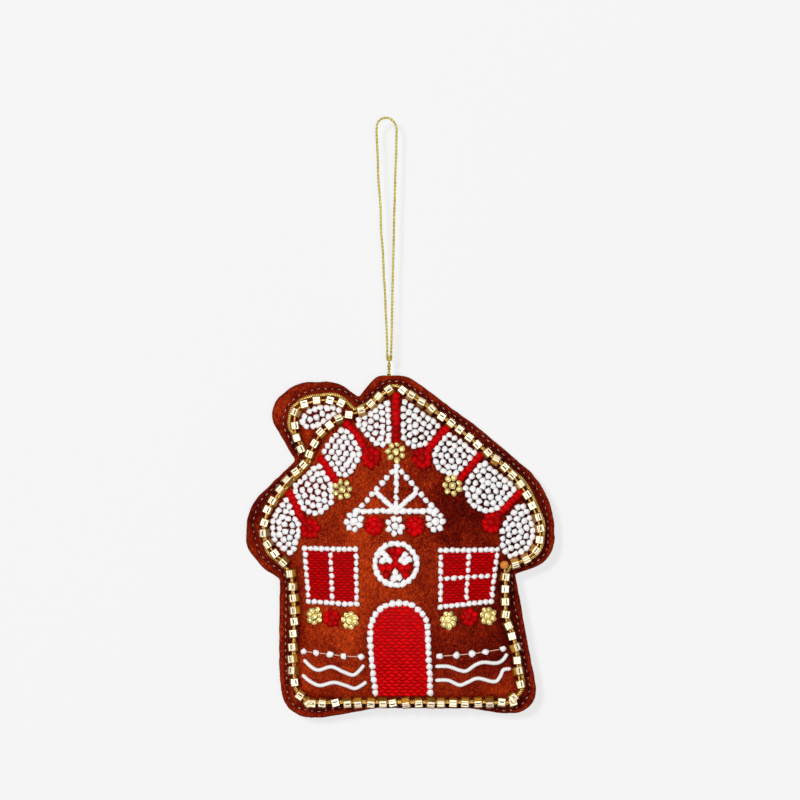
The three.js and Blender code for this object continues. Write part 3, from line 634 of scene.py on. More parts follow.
class Finish(Nodes):
    """Material of one finish."""

    def __init__(self, name, **constants):
        self.material = bpy.data.materials.new(name)
        self.material.use_nodes = True
        super().__init__(self.material.node_tree, "Material Output")
        self.shader = self.tree.nodes["Principled BSDF"]
        for socket, value in constants.items():
            self.sets(socket.replace("_", " "), value)

    def sets(self, name, value):
        self.plug(self.shader.inputs[name], value)

    def object_place(self):
        return self.node("TexCoord", output="Object")

    def noise(self, scale, detail=2.0, roughness=0.5, vector=None, distortion=0.0):
        return self.node("TexNoise", {
            "Vector": vector or self.object_place(), "Scale": scale, "Detail": detail,
            "Roughness": roughness, "Distortion": distortion,
        })

    def share(self, value, low, high, most=1):
        """0 at low, the most at high, straight in between."""
        return self.node("MapRange", {
            "Value": value, "From Min": low, "From Max": high, "To Max": most,
        })

    def ramp(self, factor, *stops):
        return self.node("ValToRGB", {"Fac": factor}, stops=stops)

    def mixed(self, factor, first, second):
        """From the first colour to the second."""
        return self.node("Mix", {0: factor, 6: first, 7: second}, 2, data_type="RGBA")

    def number(self, name):
        return self.node("Attribute", output="Fac", attribute_name=name)

    def ridge(self):
        """Strands of a thread that winds round a knot or runs along a stitch."""
        strands = 3
        return (self.number("wrap") * (2 * math.pi * strands)).sine()

    def bump(self, height, distance, strength=0.8):
        inputs = {"Height": height, "Distance": distance, "Strength": strength}
        self.sets("Normal", self.node("Bump", inputs))

    def made(self, colour, roughness):
        """The material, with its colour and roughness."""
        self.sets("Base Color", colour)
        self.sets("Roughness", roughness)
        return self.material


def linear(colour):
    """Colour written in the usual 0 to 255 steps, as light."""
    steps = [c / 255 for c in colour]
    return tuple(c / 12.92 if c <= 0.04045 else ((c + 0.055) / 1.055) ** 2.4 for c in steps)


def scaled(colour, amount):
    return tuple(min(1, c * amount) for c in colour)


def felt_finish(name, sizes):
    """Brushed wool felt, mottled from orange brown to maroon, with fine crossing fibres and painted
    shade.
    """
    warm, deep = sizes.warm, sizes.deep
    finish = Finish(
        name, Roughness=0.95, Sheen_Weight=0.04, Sheen_Roughness=0.5,
        Sheen_Tint=scaled(warm, 1.4), Specular_IOR_Level=0.04,
    )
    spot = finish.object_place()

    def fibres(tilt, scale):
        turned = finish.node("Mapping", {
            "Vector": spot, "Rotation": (0, math.radians(tilt), 0), "Scale": (1, 1, 0.55),
        })
        return finish.noise(scale, 2.0, 0.6, turned, 1.6)

    patches = finish.noise(55, 3.0, 0.55, spot, 0.5)
    clumps = finish.noise(420, 2.0, 0.5, spot, 0.8)
    first, second = fibres(34, 2700), fibres(-48, 2300)
    swing = finish.noise(160, 1.0, 0.5, spot)
    grain = first * swing + second * (1 - swing)
    across, depth, upright = (
        finish.node("SeparateXYZ", {"Vector": spot}, axis) for axis in "XYZ"
    )
    # Painted shade towards the right wall, on the domed part above the foot, where the dome faces
    # away from the light
    painted_shade_right = finish.share(across + (upright + 140 * MM).absolute() * 0.5, 15 * MM, 37 * MM)
    domed = finish.share(depth, -2.5 * MM, -6 * MM)
    above_foot = finish.share(upright, -190 * MM, -178 * MM)
    # pressed is painted shade, summed from the numbers: in the seam's groove and at the cut edge,
    # beside the beads, between the icing's knots, in the patches and towards the right of the dome;
    # with it a little darkening towards the cut edge
    pressed = (
        finish.number("rim") * 0.10 + finish.number("groove") * 0.30
        + finish.number("shade") * 0.42 + painted_shade_right * domed * above_foot * 0.20
    )
    tone = patches * 0.66 + clumps * 0.34 + grain * 2.1 - 1.06 - pressed
    finish.sets("Base Color", finish.ramp(
        tone, (0.06, scaled(deep, 0.16)), (0.36, deep),
        (0.50, [(a + b) / 2 for a, b in zip(deep, warm)]), (0.64, warm), (0.88, scaled(warm, 2.1)),
    ))
    finish.bump(grain + clumps * 0.5, 0.30 * MM)
    return finish.material


def floss_finish(name, colour, spread, shine=0.2, deep=0.5, grain=0.09, flank=0.8):
    """Embroidery floss, with its strands, painted shade in the grooves between them and painted
    shade on its flanks.
    """
    finish = Finish(name, Specular_IOR_Level=shine)
    fuzz, ridge = finish.noise(3600), finish.ridge()
    # Random tone and fuzz, and painted shade in the grooves between strands
    dulled = finish.number("tone") * spread + fuzz * 0.25 - ridge * 0.14
    lit = finish.mixed(dulled, colour, scaled(colour, deep))
    # Painted shade on the flanks and underside of each knot or stitch, by how far round the thread
    # a point lies
    low = finish.share(finish.number("wrap"), 0.36, 0.64, flank)
    finish.bump(ridge * 0.7 + fuzz * 0.5, grain * MM)
    return finish.made(finish.mixed(low, lit, scaled(colour, 0.25 * deep)), fuzz * 0.2 + 0.34)


def white_floss(name):
    """The floss of the icing."""
    white = settings().beads.white
    return floss_finish(name, white, 0.1, shine=0.3, deep=0.85, grain=0.05, flank=0.45)


def red_floss(name, strength=1.0):
    """The floss of the red knots, which differ in tone."""
    colour = scaled(settings().beads.red, strength)
    return floss_finish(name, colour, 0.62, shine=0.05, deep=0.3)


def gilt_finish(name, colour, dark):
    """Metallic thread that catches light on its turns, with painted shade in the grooves between
    them.
    """
    finish = Finish(name, Metallic=0.9)
    specks = finish.noise(2600, 3.0, 0.6)
    shade = finish.ramp(
        specks * 0.7 + finish.noise(300) * 0.3,
        (0.32, dark), (0.5, colour), (0.8, scaled(colour, 1.25)),
    )
    # Painted shade between the turns, from the tube's groove number
    painted_groove_shade = finish.number("groove") * 0.7
    finish.bump(specks, 0.05 * MM, 0.5)
    return finish.made(finish.mixed(painted_groove_shade, shade, scaled(dark, 0.35)), specks * 0.3 + 0.18)


def loop_gilt(name):
    """The metallic thread of the hanging cord."""
    colour = settings().cords.loop_colour
    return gilt_finish(name, colour, scaled(colour, 0.2))


def gilt_knot_finish(name, colour):
    """Knots of metallic thread, with painted shade between their strands and on their flanks."""
    finish = Finish(name, Metallic=0.75)
    specks, ridge = finish.noise(2600), finish.ridge()
    # Random tone and specks, and painted shade in the grooves between strands
    dulled = finish.number("tone") * 0.35 + specks * 0.4 - ridge * 0.2
    lit = finish.mixed(dulled, colour, scaled(colour, 0.35))
    # Painted shade on the flanks and underside of each knot
    low = finish.share(finish.number("wrap"), 0.38, 0.60, 0.85)
    finish.bump(ridge * 0.8 + specks * 0.4, 0.09 * MM)
    return finish.made(finish.mixed(low, lit, scaled(colour, 0.10)), specks * 0.25 + 0.22)


def glass_finish(name, colour, edge, body=0.0):
    """Glass over what lies inside it, with the edge colour where it is seen edge-on: on the clear
    cubes a painted amber glint, on the amber bead its own colour.
    """
    finish = Finish(name, Roughness=0.04, IOR=1.5, Base_Color=edge)
    facing = finish.node("LayerWeight", {"Blend": 0.3}, "Facing")
    share = facing * 0.9 + finish.noise(500) * 0.06 + body
    clear = finish.node("BsdfTransparent", {"Color": colour})
    finish.shows(finish.either(share, clear, Socket(finish, finish.shader.outputs[0])))
    return finish.material


def lining_finish(name, colour, glow):
    """Foil lining seen through the glass, brightened by a painted glow that stands in for the light
    in the glass.
    """
    finish = Finish(name, Metallic=0.1, Emission_Strength=glow)
    flaws = finish.noise(1300)
    streak = (finish.number("wrap") * 20 + finish.number("tone") * 9 + flaws * 1.4).sine()
    shade = finish.ramp(
        streak * 0.5 + flaws * 0.12 + 0.44,
        (0.06, scaled(colour, 0.30)), (0.17, scaled(colour, 0.82)), (0.6, scaled(colour, 1.03)),
    )
    # The painted glow takes the lining's colour
    finish.sets("Emission Color", shade)
    return finish.made(shade, flaws * 0.2 + 0.2)


def plain_finish(name, colour, roughness, grain=1800):
    finish = Finish(name)
    specks = finish.noise(grain, 3.0)
    finish.bump(specks, 0.08 * MM, 0.6)
    return finish.made(finish.mixed(specks, colour, scaled(colour, 0.6)), specks * 0.2 + roughness)


# The felt that everything is sewn on

def colour_choice(name, description, default):
    return FloatVectorProperty(
        name=name, description=description, default=default, subtype="COLOR", size=3, min=0, max=1
    )


def length_choice(name, description, default):
    return FloatProperty(
        name=name, description=description, default=default, unit="LENGTH", precision=5, min=0
    )


class FeltSizes(bpy.types.PropertyGroup):
    warm: colour_choice("Warm colour", "Raised, well lit nap of the felt", linear((172, 55, 14)))
    deep: colour_choice("Deep colour", "Shaded nap of the felt", linear((114, 16, 5)))
    thickness: length_choice("Thickness", "Thickness of the felt", 1.2 * MM)
    step: length_choice("Mesh step", "Spacing of the felt's points", 1.1 * MM)
    stitch: length_choice("Stitch", "Length of one seam stitch that shows", 1.2 * MM)
    stitch_pitch: length_choice("Stitch pitch", "From one seam stitch to the next", 2.3 * MM)
    thread: colour_choice("Seam thread", "Sewing thread of the seam", linear((226, 176, 150)))


class CordSizes(bpy.types.PropertyGroup):
    loop_diameter: length_choice("Loop cord", "Diameter of the hanging cord", 0.92 * MM)
    loop_twist: length_choice("Loop twist", "Length of one full twist", 2.4 * MM)
    loop_colour: colour_choice("Loop colour", "Hanging cord", linear((222, 204, 96)))
    edge_diameter: length_choice("Edge cord", "Diameter of the couched cord", 1.5 * MM)
    edge_twist: length_choice("Edge twist", "Length of one full twist", 1.25 * MM)
    gilt: colour_choice("Gold", "Couched cord", linear((246, 216, 122)))
    gilt_dark: colour_choice("Old gold", "Shaded turns of the cord", linear((176, 124, 34)))


class BeadSizes(bpy.types.PropertyGroup):
    cube: length_choice("Cube", "Side of a glass cube", 2.95 * MM)
    cube_pitch: length_choice("Cube pitch", "From one cube to the next", 3.85 * MM)
    knot: length_choice("Knot", "Width of a knot in a row", 2.05 * MM)
    icing_knot: length_choice("Icing knot", "Width of a knot in the icing", 1.97 * MM)
    lobe: length_choice("Red knot", "Width of a red knot", 2.35 * MM)
    lining: colour_choice("Lining", "Lining inside the cubes", linear((252, 246, 222)))
    glass: colour_choice("Glass", "Clear glass of the cubes", (1.0, 0.97, 0.90))
    # Amber: painted glints at the edges of the clear cubes, and the round bead's own colour
    amber: colour_choice("Amber", "Edges of the glass, and the round bead", linear((176, 104, 24)))
    white: colour_choice("White", "Icing floss", linear((250, 248, 248)))
    red: colour_choice("Red", "Red floss", linear((222, 0, 6)))
    gold: colour_choice("Gold", "Gold thread of the knots", linear((236, 212, 136)))
    seed_number: IntProperty(name="Seed", description="Chance start for the small turns", default=7)


class StageSizes(bpy.types.PropertyGroup):
    distance: length_choice("Camera distance", "From the camera to the house", 1.25)
    pixels_per_mm: FloatProperty(name="Scale", description="Pixels for a millimetre", default=3.0)
    backdrop: colour_choice("Backdrop", "Wall and floor", linear((245, 245, 245)))
    key_power: FloatProperty(name="Key power", description="Power of the key lamp", default=63.0)
    fill_power: FloatProperty(name="Fill power", description="Power of the fill lamps", default=27)
    glow: FloatProperty(name="Glow", description="Evenly lit part of the backdrop", default=0.8)
    world: FloatProperty(name="World", description="Strength of the sky light", default=0.11)


class HouseSettings(bpy.types.PropertyGroup):
    felt: PointerProperty(type=FeltSizes)
    cords: PointerProperty(type=CordSizes)
    beads: PointerProperty(type=BeadSizes)
    stage: PointerProperty(type=StageSizes)


def settings():
    return bpy.context.scene.felt_house


seam_line = rounded(SEAM)
edge_line = rounded(EDGE)
# The front felt's surface, once it is made, which all trim is laid on
ground = {}


def crown_shares(points):
    """How full the stuffing is at each point, from 0 at the seam to 1 in the middle."""
    samples, _ = spaced(seam_line, 1.0 * MM, closed=True)
    steps = np.linalg.norm(np.roll(samples, -1, 0) - samples, axis=1)

    def depth(at):
        pull = (steps / np.linalg.norm(samples - at, axis=1).clip(1e-6) ** 3).sum()
        return math.sqrt(2 / pull)

    deepest = depth(place(PILLOW_CENTRE))
    depths = np.array([depth(p) for p in points]) / deepest
    return np.sqrt(1 - (1 - depths.clip(0, 1)) ** 2)


def fullness(points, within):
    """Lift of the felt, front and back, where its stuffing presses on it: a short cloth run."""
    lifts = np.zeros((2, len(points)))
    outline, _ = spaced(seam_line, CLOTH_STEP, closed=True)
    coarse, faces = filled(outline, [], CLOTH_STEP)
    heights = MARGIN_FACE + CROWN * crown_shares(coarse)
    cushion, _ = shell("cushion", coarse, faces, -heights, heights)
    for vertex in cushion.data.vertices:
        vertex.co *= CLOTH_SCALE
    rest = np.array([v.co for v in cushion.data.vertices])
    sides = [tuple(p.vertices) for p in cushion.data.polygons]
    pinned = cushion.vertex_groups.new(name="seam")
    on_seam = distance_to(rest[:, [0, 2]] / CLOTH_SCALE, outline) < 0.5 * MM
    pinned.add([int(i) for i in np.flatnonzero(on_seam)], 1, "REPLACE")
    cloth = cushion.modifiers.new("Cloth", "CLOTH")
    for name, value in CLOTH.items():
        setattr(cloth.settings, name, value)
    cloth.settings.effector_weights.gravity = 0
    cloth.point_cache.frame_end = CLOTH_FRAMES
    scene = bpy.context.scene
    for step in range(1, CLOTH_FRAMES + 1):
        scene.frame_set(step)
    pick(cushion)
    bpy.ops.object.modifier_apply(modifier="Cloth")
    scene.frame_set(1)
    pressed = np.array([v.co for v in cushion.data.vertices])
    bpy.data.objects.remove(cushion)
    before = BVHTree.FromPolygons([tuple(p) for p in rest], sides)
    after = BVHTree.FromPolygons([tuple(p) for p in pressed], sides)
    for side, sign in enumerate((-1, 1)):
        for i in np.flatnonzero(within):
            start = Vector((points[i, 0] * CLOTH_SCALE, sign, points[i, 1] * CLOTH_SCALE))
            ahead = Vector((0, -sign, 0))
            low, high = before.ray_cast(start, ahead)[0], after.ray_cast(start, ahead)[0]
            if low and high:
                lifts[side, i] = sign * (high.y - low.y) / CLOTH_SCALE
    return (MOST_LIFT * np.tanh(lifts / MOST_LIFT)).clip(-MOST_SAG, MOST_LIFT)


def seat(point, flatness=0.25):
    """Place and direction of the front felt at a point of the sheet, turned to the front."""
    found, normal, _, _ = ground["front"].ray_cast(
        Vector((point[0], WELL_IN_FRONT, point[1])), Vector((0, 1, 0))
    )
    front = Vector((0, -1, 0))
    if found is None:
        return Vector((point[0], -MARGIN_FACE, point[1])), front
    if normal.y > 0:
        normal = -normal
    return found, normal.lerp(front, flatness).normalized()


def over_felt(points, lifts):
    """Points of the sheet at a height over the front felt, or at a height each."""
    lifts = np.broadcast_to(lifts, len(points))
    return np.array([seat(p)[0] - Vector((0, lift, 0)) for p, lift in zip(points, lifts)])


def laid(point, way, lift, turn=0.0, roll=0.0, size=(1, 1, 1), flatness=0.25):
    """Matrix that lays a pattern on the felt: its x along a line, its z off the felt."""
    found, normal = seat(point, flatness)
    along = Vector((way[0], 0, way[1]))
    along = (along - along.dot(normal) * normal).normalized()
    turned = Matrix((along, normal.cross(along), normal)).transposed().to_4x4()
    turned = turned @ Matrix.Rotation(turn, 4, "Z") @ Matrix.Rotation(roll, 4, "X")
    return Matrix.Translation(found - Vector((0, lift, 0))) @ turned @ Matrix.Diagonal((*size, 1))


def filled(outline, extra, step):
    """Triangles that fill an outline, with more points on the extra lines."""
    low, high = outline.min(0), outline.max(0)
    columns = np.arange(low[0], high[0], step)
    rows = np.arange(low[1], high[1], step * ROW_SHARE)
    grid = np.array([(x + (j % 2) * step / 2, z) for j, z in enumerate(rows) for x in columns])
    grid = grid[inside(grid, outline) & (distance_to(grid, outline) > 0.6 * step)]
    for line in extra:
        grid = grid[distance_to(grid, line) > 0.5 * step]
    points = np.vstack([outline, *extra, grid])
    edges, start = [], 0
    for line in [outline, *extra]:
        edges += [(start + i, start + (i + 1) % len(line)) for i in range(len(line))]
        start += len(line)
    found = delaunay_2d_cdt([Vector(p) for p in points * 1000], edges, [], 0, 1e-5)
    points = np.array([tuple(v) for v in found[0]]) / 1000
    faces = np.array([f for f in found[2] if len(f) == 3])
    return points, faces[inside(points[faces].mean(1), outline)]


def raised(points, heights):
    """Points of the sheet as points of space."""
    return np.stack([points[:, 0], heights, points[:, 1]], 1)


def shell(name, points, faces, top, bottom, bulge=0.0):
    """Closed sheet between two heights, with a rounded cut edge."""
    count = len(points)
    upper, lower = raised(points, top), raised(points, bottom)
    first, second, third = (upper[faces[:, k]] for k in range(3))
    toward = -1 if top.mean() < bottom.mean() else 1
    kept = np.cross(second - first, third - first)[:, 1] * toward > 0
    faces = np.where(kept[:, None], faces, faces[:, ::-1])
    all_faces = [tuple(f) for f in faces] + [tuple(f[::-1] + count) for f in faces]
    edges = {}
    for a, b, c in faces:
        for pair in ((a, b), (b, c), (c, a)):
            if edges.pop(pair[::-1], None) is None:
                edges[pair] = True
    rim_points = sorted({a for pair in edges for a in pair})
    rim_index = {a: 2 * count + k for k, a in enumerate(rim_points)}
    rim = (upper[rim_points] + lower[rim_points]) / 2
    outward = {a: np.zeros(2) for a in rim_points}
    for a, b in edges:
        way = points[b] - points[a]
        for end in (a, b):
            outward[end] = outward[end] + np.array([way[1], -way[0]]) * -toward
        all_faces.append((b, a, rim_index[a], rim_index[b]))
        all_faces.append((rim_index[b], rim_index[a], a + count, b + count))
    for k, a in enumerate(rim_points):
        rim[k, [0, 2]] += bulge * (outward[a] / max(np.linalg.norm(outward[a]), 1e-12))
    return mesh_object(name, np.vstack([upper, lower, rim]), all_faces), rim_points


class FELTHOUSE_OT_stage(bpy.types.Operator):
    """Camera, lamps, sky and the pale backdrop"""
    bl_idname = "felthouse.stage"
    bl_label = "Stage"

    def execute(self, context):
        sizes = settings().stage
        centre = Vector(PICTURE_CENTRE)
        view_width = PICTURE_PIXELS / sizes.pixels_per_mm * MM
        bpy.ops.object.camera_add(
            location=centre - Vector((0, sizes.distance, 0)), rotation=(QUARTER_TURN, 0, 0)
        )
        camera = context.object
        camera.name = "photo_camera"
        camera.data.lens = camera.data.sensor_width * sizes.distance / view_width
        camera.data.clip_start = 0.01
        context.scene.camera = camera

        # Place from the picture's middle, width and power
        for name, place_at, width, power in (
            ("key_lamp", (-0.72, -2.88, 0.60), 0.40, sizes.key_power),
            ("front_lamp", (0.25, -3.20, -0.20), 0.60, sizes.fill_power),
            ("rear_lamp", (0.70, 2.80, 0.50), 1.00, sizes.fill_power * 2.3),
        ):
            spot = centre + Vector(place_at)
            aim = (centre - spot).to_track_quat("-Z", "Y").to_euler()
            bpy.ops.object.light_add(type="AREA", location=spot, rotation=aim)
            lamp = context.object
            lamp.name = name
            lamp.data.size = width
            lamp.data.energy = power

        world = bpy.data.worlds.new("pale_sky")
        context.scene.world = world
        world.use_nodes = True
        sky = Nodes(world.node_tree, "World Output")
        light = sky.node("Background", {"Color": (1, 1, 1), "Strength": sizes.world})
        pale = sky.node("Background", {"Color": sizes.backdrop})
        seen = sum(
            sky.node("LightPath", output=f"Is {ray} Ray")
            for ray in ("Camera", "Glossy", "Transmission")
        )
        sky.shows(sky.either(seen, light, pale))

        # The wall runs behind the house, and a round bend joins it to the floor
        behind, floor_length, bend = 10.6 * MM, 1.6, 0.3
        bpy.ops.mesh.primitive_plane_add(
            size=3, location=(0, behind, 0.9), rotation=(QUARTER_TURN, 0, 0)
        )
        backdrop = context.object
        backdrop.name = "backdrop"
        bpy.ops.object.transform_apply(location=True, rotation=True, scale=True)
        bpy.ops.object.mode_set(mode="EDIT")
        select_edges(backdrop, lambda v: v.co.z < 0)
        bpy.ops.mesh.extrude_region_move(TRANSFORM_OT_translate={"value": (0, -floor_length, 0)})
        select_edges(backdrop, lambda v: v.co.z < 0 and v.co.y > 0)
        bpy.ops.mesh.bevel(offset=bend, segments=10)
        bpy.ops.mesh.select_all(action="SELECT")
        bpy.ops.mesh.normals_make_consistent(inside=False)
        bpy.ops.object.mode_set(mode="OBJECT")
        if sum(face.normal.y for face in backdrop.data.polygons) > 0:
            backdrop.data.flip_normals()

        # Camera rays see its front alone, lit partly by the lamps and partly evenly
        finish = Finish("backdrop_paper")
        paper = finish.node("BsdfDiffuse", {"Color": sizes.backdrop})
        glow = finish.node("Emission", {"Color": sizes.backdrop})
        lit = finish.either(sizes.glow, paper, glow)
        clear = finish.node("BsdfTransparent")
        camera_ray = finish.node("LightPath", output="Is Camera Ray")
        backfacing = finish.node("NewGeometry", output="Backfacing")
        finish.shows(finish.either(camera_ray * (1 - backfacing), clear, lit))
        backdrop.data.materials.append(finish.material)
        context.scene.view_settings.view_transform = "Standard"
        deselect()
        return {"FINISHED"}


class FELTHOUSE_OT_hanging_loop(bpy.types.Operator):
    """Twisted gold cord that the house hangs from"""
    bl_idname = "felthouse.hanging_loop"
    bl_label = "Hanging loop"

    def execute(self, context):
        sizes = settings().cords
        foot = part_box("hanging_loop")[0].z - JOINT_GAP
        route = [
            (NECK_X - STRAND_SPREAD, foot),
            *[(x * MM, z * MM) for x, z in LOOP_ROUTE],
            (NECK_X + STRAND_SPREAD, foot),
        ]
        turns = 8
        line, _ = spaced(smooth_line(route), sizes.loop_twist / turns)
        line = raised(line, np.zeros(len(line)))
        profile = two_ply(sizes.loop_diameter / 2, 8)
        loop = tube("hanging_cord", line, profile, 1 / turns)
        add_piece(loop, "loop", "hanging_loop", "loop_cord", loop_gilt("loop_gold"))
        return {"FINISHED"}


class FELTHOUSE_OT_neck(bpy.types.Operator):
    """Wound whipping, the short neck under it and the tail in the felt"""
    bl_idname = "felthouse.neck"
    bl_label = "Neck"

    def execute(self, context):
        gilt = loop_gilt("neck_gold")
        radius = settings().cords.loop_diameter / 2
        doubled = 1.7 * radius
        points_per_turn, step = 16, 0.11 * MM
        # A cord starts at a share of its thickness, is full after the taper, and is never thicker
        # than a share of its distance from the joint
        start_share, taper, joint_share = 0.75, 0.6 * MM, 0.95

        def beside(away, thickness):
            """Shares of full thickness for a cord that starts beside a round end."""
            cut = (start_share + (away - ROUND_END - END_SPACE) / taper).clip(0, 1)
            return cut * (joint_share * away / thickness).clip(0, 1)

        low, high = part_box("loop_whipping")
        foot = low.z - JOINT_GAP + ROUND_END + END_SPACE
        heights = np.arange(foot, high.z, step)
        slim = beside(heights - low.z + JOINT_GAP, radius)
        strands = []
        for side in (-1, 1):
            offset = np.interp(heights, [foot, high.z], [0.75 * radius, STRAND_SPREAD])
            line = np.stack([NECK_X + side * offset, heights * 0, heights], 1)
            profile = two_ply(radius, 8)
            strands.append(tube("strand", line, profile, 1 / points_per_turn, scale=slim))
        wire, turns, steps = 0.13 * MM, 3, 14
        for start, width in ((0.56 * MM, 1.9 * radius), (1.45 * MM, 2.1 * radius)):
            swing = 2 * np.pi * np.arange(turns * steps + 1) / steps
            rise = low.z + start + 2 * wire * swing / (2 * np.pi)
            coil = np.stack([NECK_X + width * np.cos(swing), 1.1 * radius * np.sin(swing), rise], 1)
            winding = tube("winding", coil, np.full(6, wire))
            # The whole winding wire takes some painted shade
            give_numbers(winding, "groove", 0.4)
            strands.append(winding)
        whipping = strands.pop()
        join(whipping, strands)
        whipping.name = "loop_whipping_cord"
        add_piece(whipping, "whipping", "loop_whipping", "loop_cord", gilt)

        low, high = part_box("loop_neck")
        lower, upper = low.z - JOINT_GAP, high.z + JOINT_GAP
        heights = np.arange(lower - ROUND_END, upper + ROUND_END, step)
        within = np.minimum(heights - lower, upper - heights)
        thickness = np.sqrt((ROUND_END ** 2 - within.clip(-1, 0) ** 2).clip(0))
        thickness = np.maximum(thickness, (joint_share * within).clip(0, doubled))
        below = np.arange(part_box("loop_tail")[0].z, lower - ROUND_END - END_SPACE, step)
        for node, body, levels, slim in (
            ("loop_neck", "neck", heights, (thickness / doubled).clip(0.05, 1)),
            ("loop_tail", "house", below, beside(lower - below, doubled)),
        ):
            line = np.stack([levels * 0 + NECK_X, levels * 0, levels], 1)
            profile = two_ply(doubled, 10)
            cord = tube(f"{node}_cord", line, profile, 1 / points_per_turn, scale=slim)
            add_piece(cord, body, node, "loop_cord", gilt)
        return {"FINISHED"}


def loose_fibres(outline, depth, chance):
    """Short wool fibres that stand out of a cut edge of the felt."""
    places, ways = spaced(outline, 0.32 * MM, closed=True)
    radius, sides = 0.03 * MM, 3
    points, faces = [], []
    for spot, way in zip(places, ways):
        outward = np.array([way[1], 0, -way[0]])
        along = np.array([way[0], 0, way[1]])
        root = np.array([spot[0], depth + chance.uniform(-0.45, 0.45) * MM, spot[1]])
        lean = outward + along * chance.gauss(0, 0.7) + np.array([0, chance.gauss(0, 0.5), 0])
        curl = outward * 0.4 + along * chance.gauss(0, 1.0) + np.array([0, chance.gauss(0, 0.6), 0])
        reach = chance.uniform(0.25, 0.75) * MM
        middle = root + lean / np.linalg.norm(lean) * reach * 0.6
        tip = middle + curl / np.linalg.norm(curl) * reach * 0.5
        start = len(points)
        for centre in (root, middle):
            for k in range(sides):
                angle = 2 * math.pi * k / sides
                points.append(centre + radius * (
                    math.cos(angle) * along + math.sin(angle) * np.array([0, 1, 0])
                ))
        points.append(tip)
        faces.append((start + 2, start + 1, start))
        for k in range(sides):
            a, b = start + k, start + (k + 1) % sides
            faces.append((a, b, b + sides, a + sides))
            faces.append((a + sides, b + sides, start + 2 * sides))
    made = mesh_object("fibres", points, faces)
    start_editing(made)
    bpy.ops.mesh.normals_make_consistent(inside=False)
    end_editing(made)
    give_numbers(made, "rim", 1)
    return made


class FELTHOUSE_OT_felt(bpy.types.Operator):
    """Stuffed front and back of brushed felt"""
    bl_idname = "felthouse.felt"
    bl_label = "Felt"

    def execute(self, context):
        sizes = settings().felt
        chance = random.Random(settings().beads.seed_number)
        bulge, line_step, seam_width = 0.25 * MM, 0.9 * MM, 0.75 * MM
        groove_width, groove_depth = 0.8 * MM, 0.35 * MM
        margin_width, wave_height = 2.5 * MM, 0.35 * MM
        pucker_width, pucker_height, bead_shade = 2.2 * MM, 0.16 * MM, 1.9 * MM
        fray_share, waves_per_metre, icing_shade = 0.10, 70, 0.65
        stuffing_inset, stuffing_step, stuffing_gap = 1.2 * MM, 2.5 * MM, 0.4 * MM

        # A slightly frayed outline, and finer points along the seam
        outline, _ = spaced(edge_line, line_step, closed=True)
        fray = evened(np.array([chance.gauss(0, 1) for _ in outline]))
        outline = grown(outline, -bulge)
        outline = outline + (fray * fray_share)[:, None] * (grown(outline, 1.0 * MM) - outline)
        seam, _ = spaced(seam_line, line_step, closed=True)
        beside = [
            spaced(grown(seam, away), line_step, closed=True)[0]
            for away in (-seam_width, seam_width)
        ]
        points, faces = filled(outline, [seam, *beside], sizes.step)

        # Heights over the middle: the dome, the seam's groove and a wavy margin
        within = inside(points, seam_line)
        from_seam = distance_to(points, seam_line)
        heights = MARGIN_FACE + CROWN * np.where(within, crown_shares(points), 0)
        groove = np.exp(-(from_seam / groove_width) ** 2)
        sunk = groove_depth * groove
        rim = np.where(within, 0, np.clip(from_seam / margin_width, 0, 1))
        wave = rim * wave_height * np.array([
            noise.noise((x * waves_per_metre, 0, z * waves_per_metre)) for x, z in points
        ])
        stitches, _ = spaced(seam_line, sizes.stitch_pitch / 2, closed=True)
        nearest = np.linalg.norm(points[:, None] - stitches[None], axis=2).argmin(1)
        pucker = np.sin(np.pi / 2 * nearest) * np.exp(-from_seam / pucker_width)
        lifts = fullness(points, within) + np.where(within, pucker_height * pucker, 0)

        # Painted shade on the front: shadow beside the bead runs, shade between the icing's knots,
        # and the painted shade patches
        shade = np.zeros(len(points))
        for marks in BEAD_RUNS.values():
            run = sheet_line(marks)
            away = distance_to(points, np.vstack([run, run[::-1]]))
            shade = np.maximum(shade, np.exp(-(away / bead_shade) ** 2))
        for node in ICING:
            shade = np.where(inside(points, outline_of(node)), icing_shade, shade)
        for middle, reach, amount in PAINTED_SHADE_PATCHES:
            away = np.hypot(*(points - place(middle)).T) / (reach / 1000 * WIDTH)
            shade = np.maximum(shade, amount * np.exp(-away ** 2))

        material = felt_finish("brushed_felt", sizes)
        for name, sign, lift, pressed in (
            ("front", -1, lifts[0], shade), ("back", 1, lifts[1], shade * 0),
        ):
            top = sign * (heights + lift - sunk) + wave
            bottom = sign * (heights + lift - sizes.thickness) + wave
            made, rim_points = shell(f"felt_{name}", points, faces, top, bottom, bulge)
            # The groove number is painted shade in the seam's groove, with 0.8 more of it at the
            # cut edge; pressed, the shade number, is painted shade on the front alone
            for number, values, at_cut in (
                ("rim", rim, 0), ("groove", groove, 0.8), ("shade", pressed, 0),
            ):
                cut = values[rim_points] + at_cut
                give_numbers(made, number, np.concatenate([values, values * 0, cut]))
            if name == "front":
                corners = [Vector(p) for p in raised(points, top)]
                ground["front"] = BVHTree.FromPolygons(corners, [tuple(f) for f in faces.tolist()])
            made.data.materials.append(material)
            nap = loose_fibres(outline, sign * (MARGIN_FACE - sizes.thickness / 2), chance)
            nap.data.materials.append(material)
            join(made, [nap])
            add_piece(made, "house", f"{name}_panel", "felt")

        core, _ = spaced(grown(rounded(SEAM, 0.3), -stuffing_inset), 2 * MM, closed=True)
        points, faces = filled(core, [], stuffing_step)
        depth = CROWN * crown_shares(points) - stuffing_gap
        stuffing, _ = shell("fibre_stuffing", points, faces, -depth, depth)
        wool = plain_finish("fibre_fill", linear((240, 238, 230)), 0.8, 600)
        add_piece(stuffing, "house", "stuffing", "polyester_fill", wool)
        return {"FINISHED"}


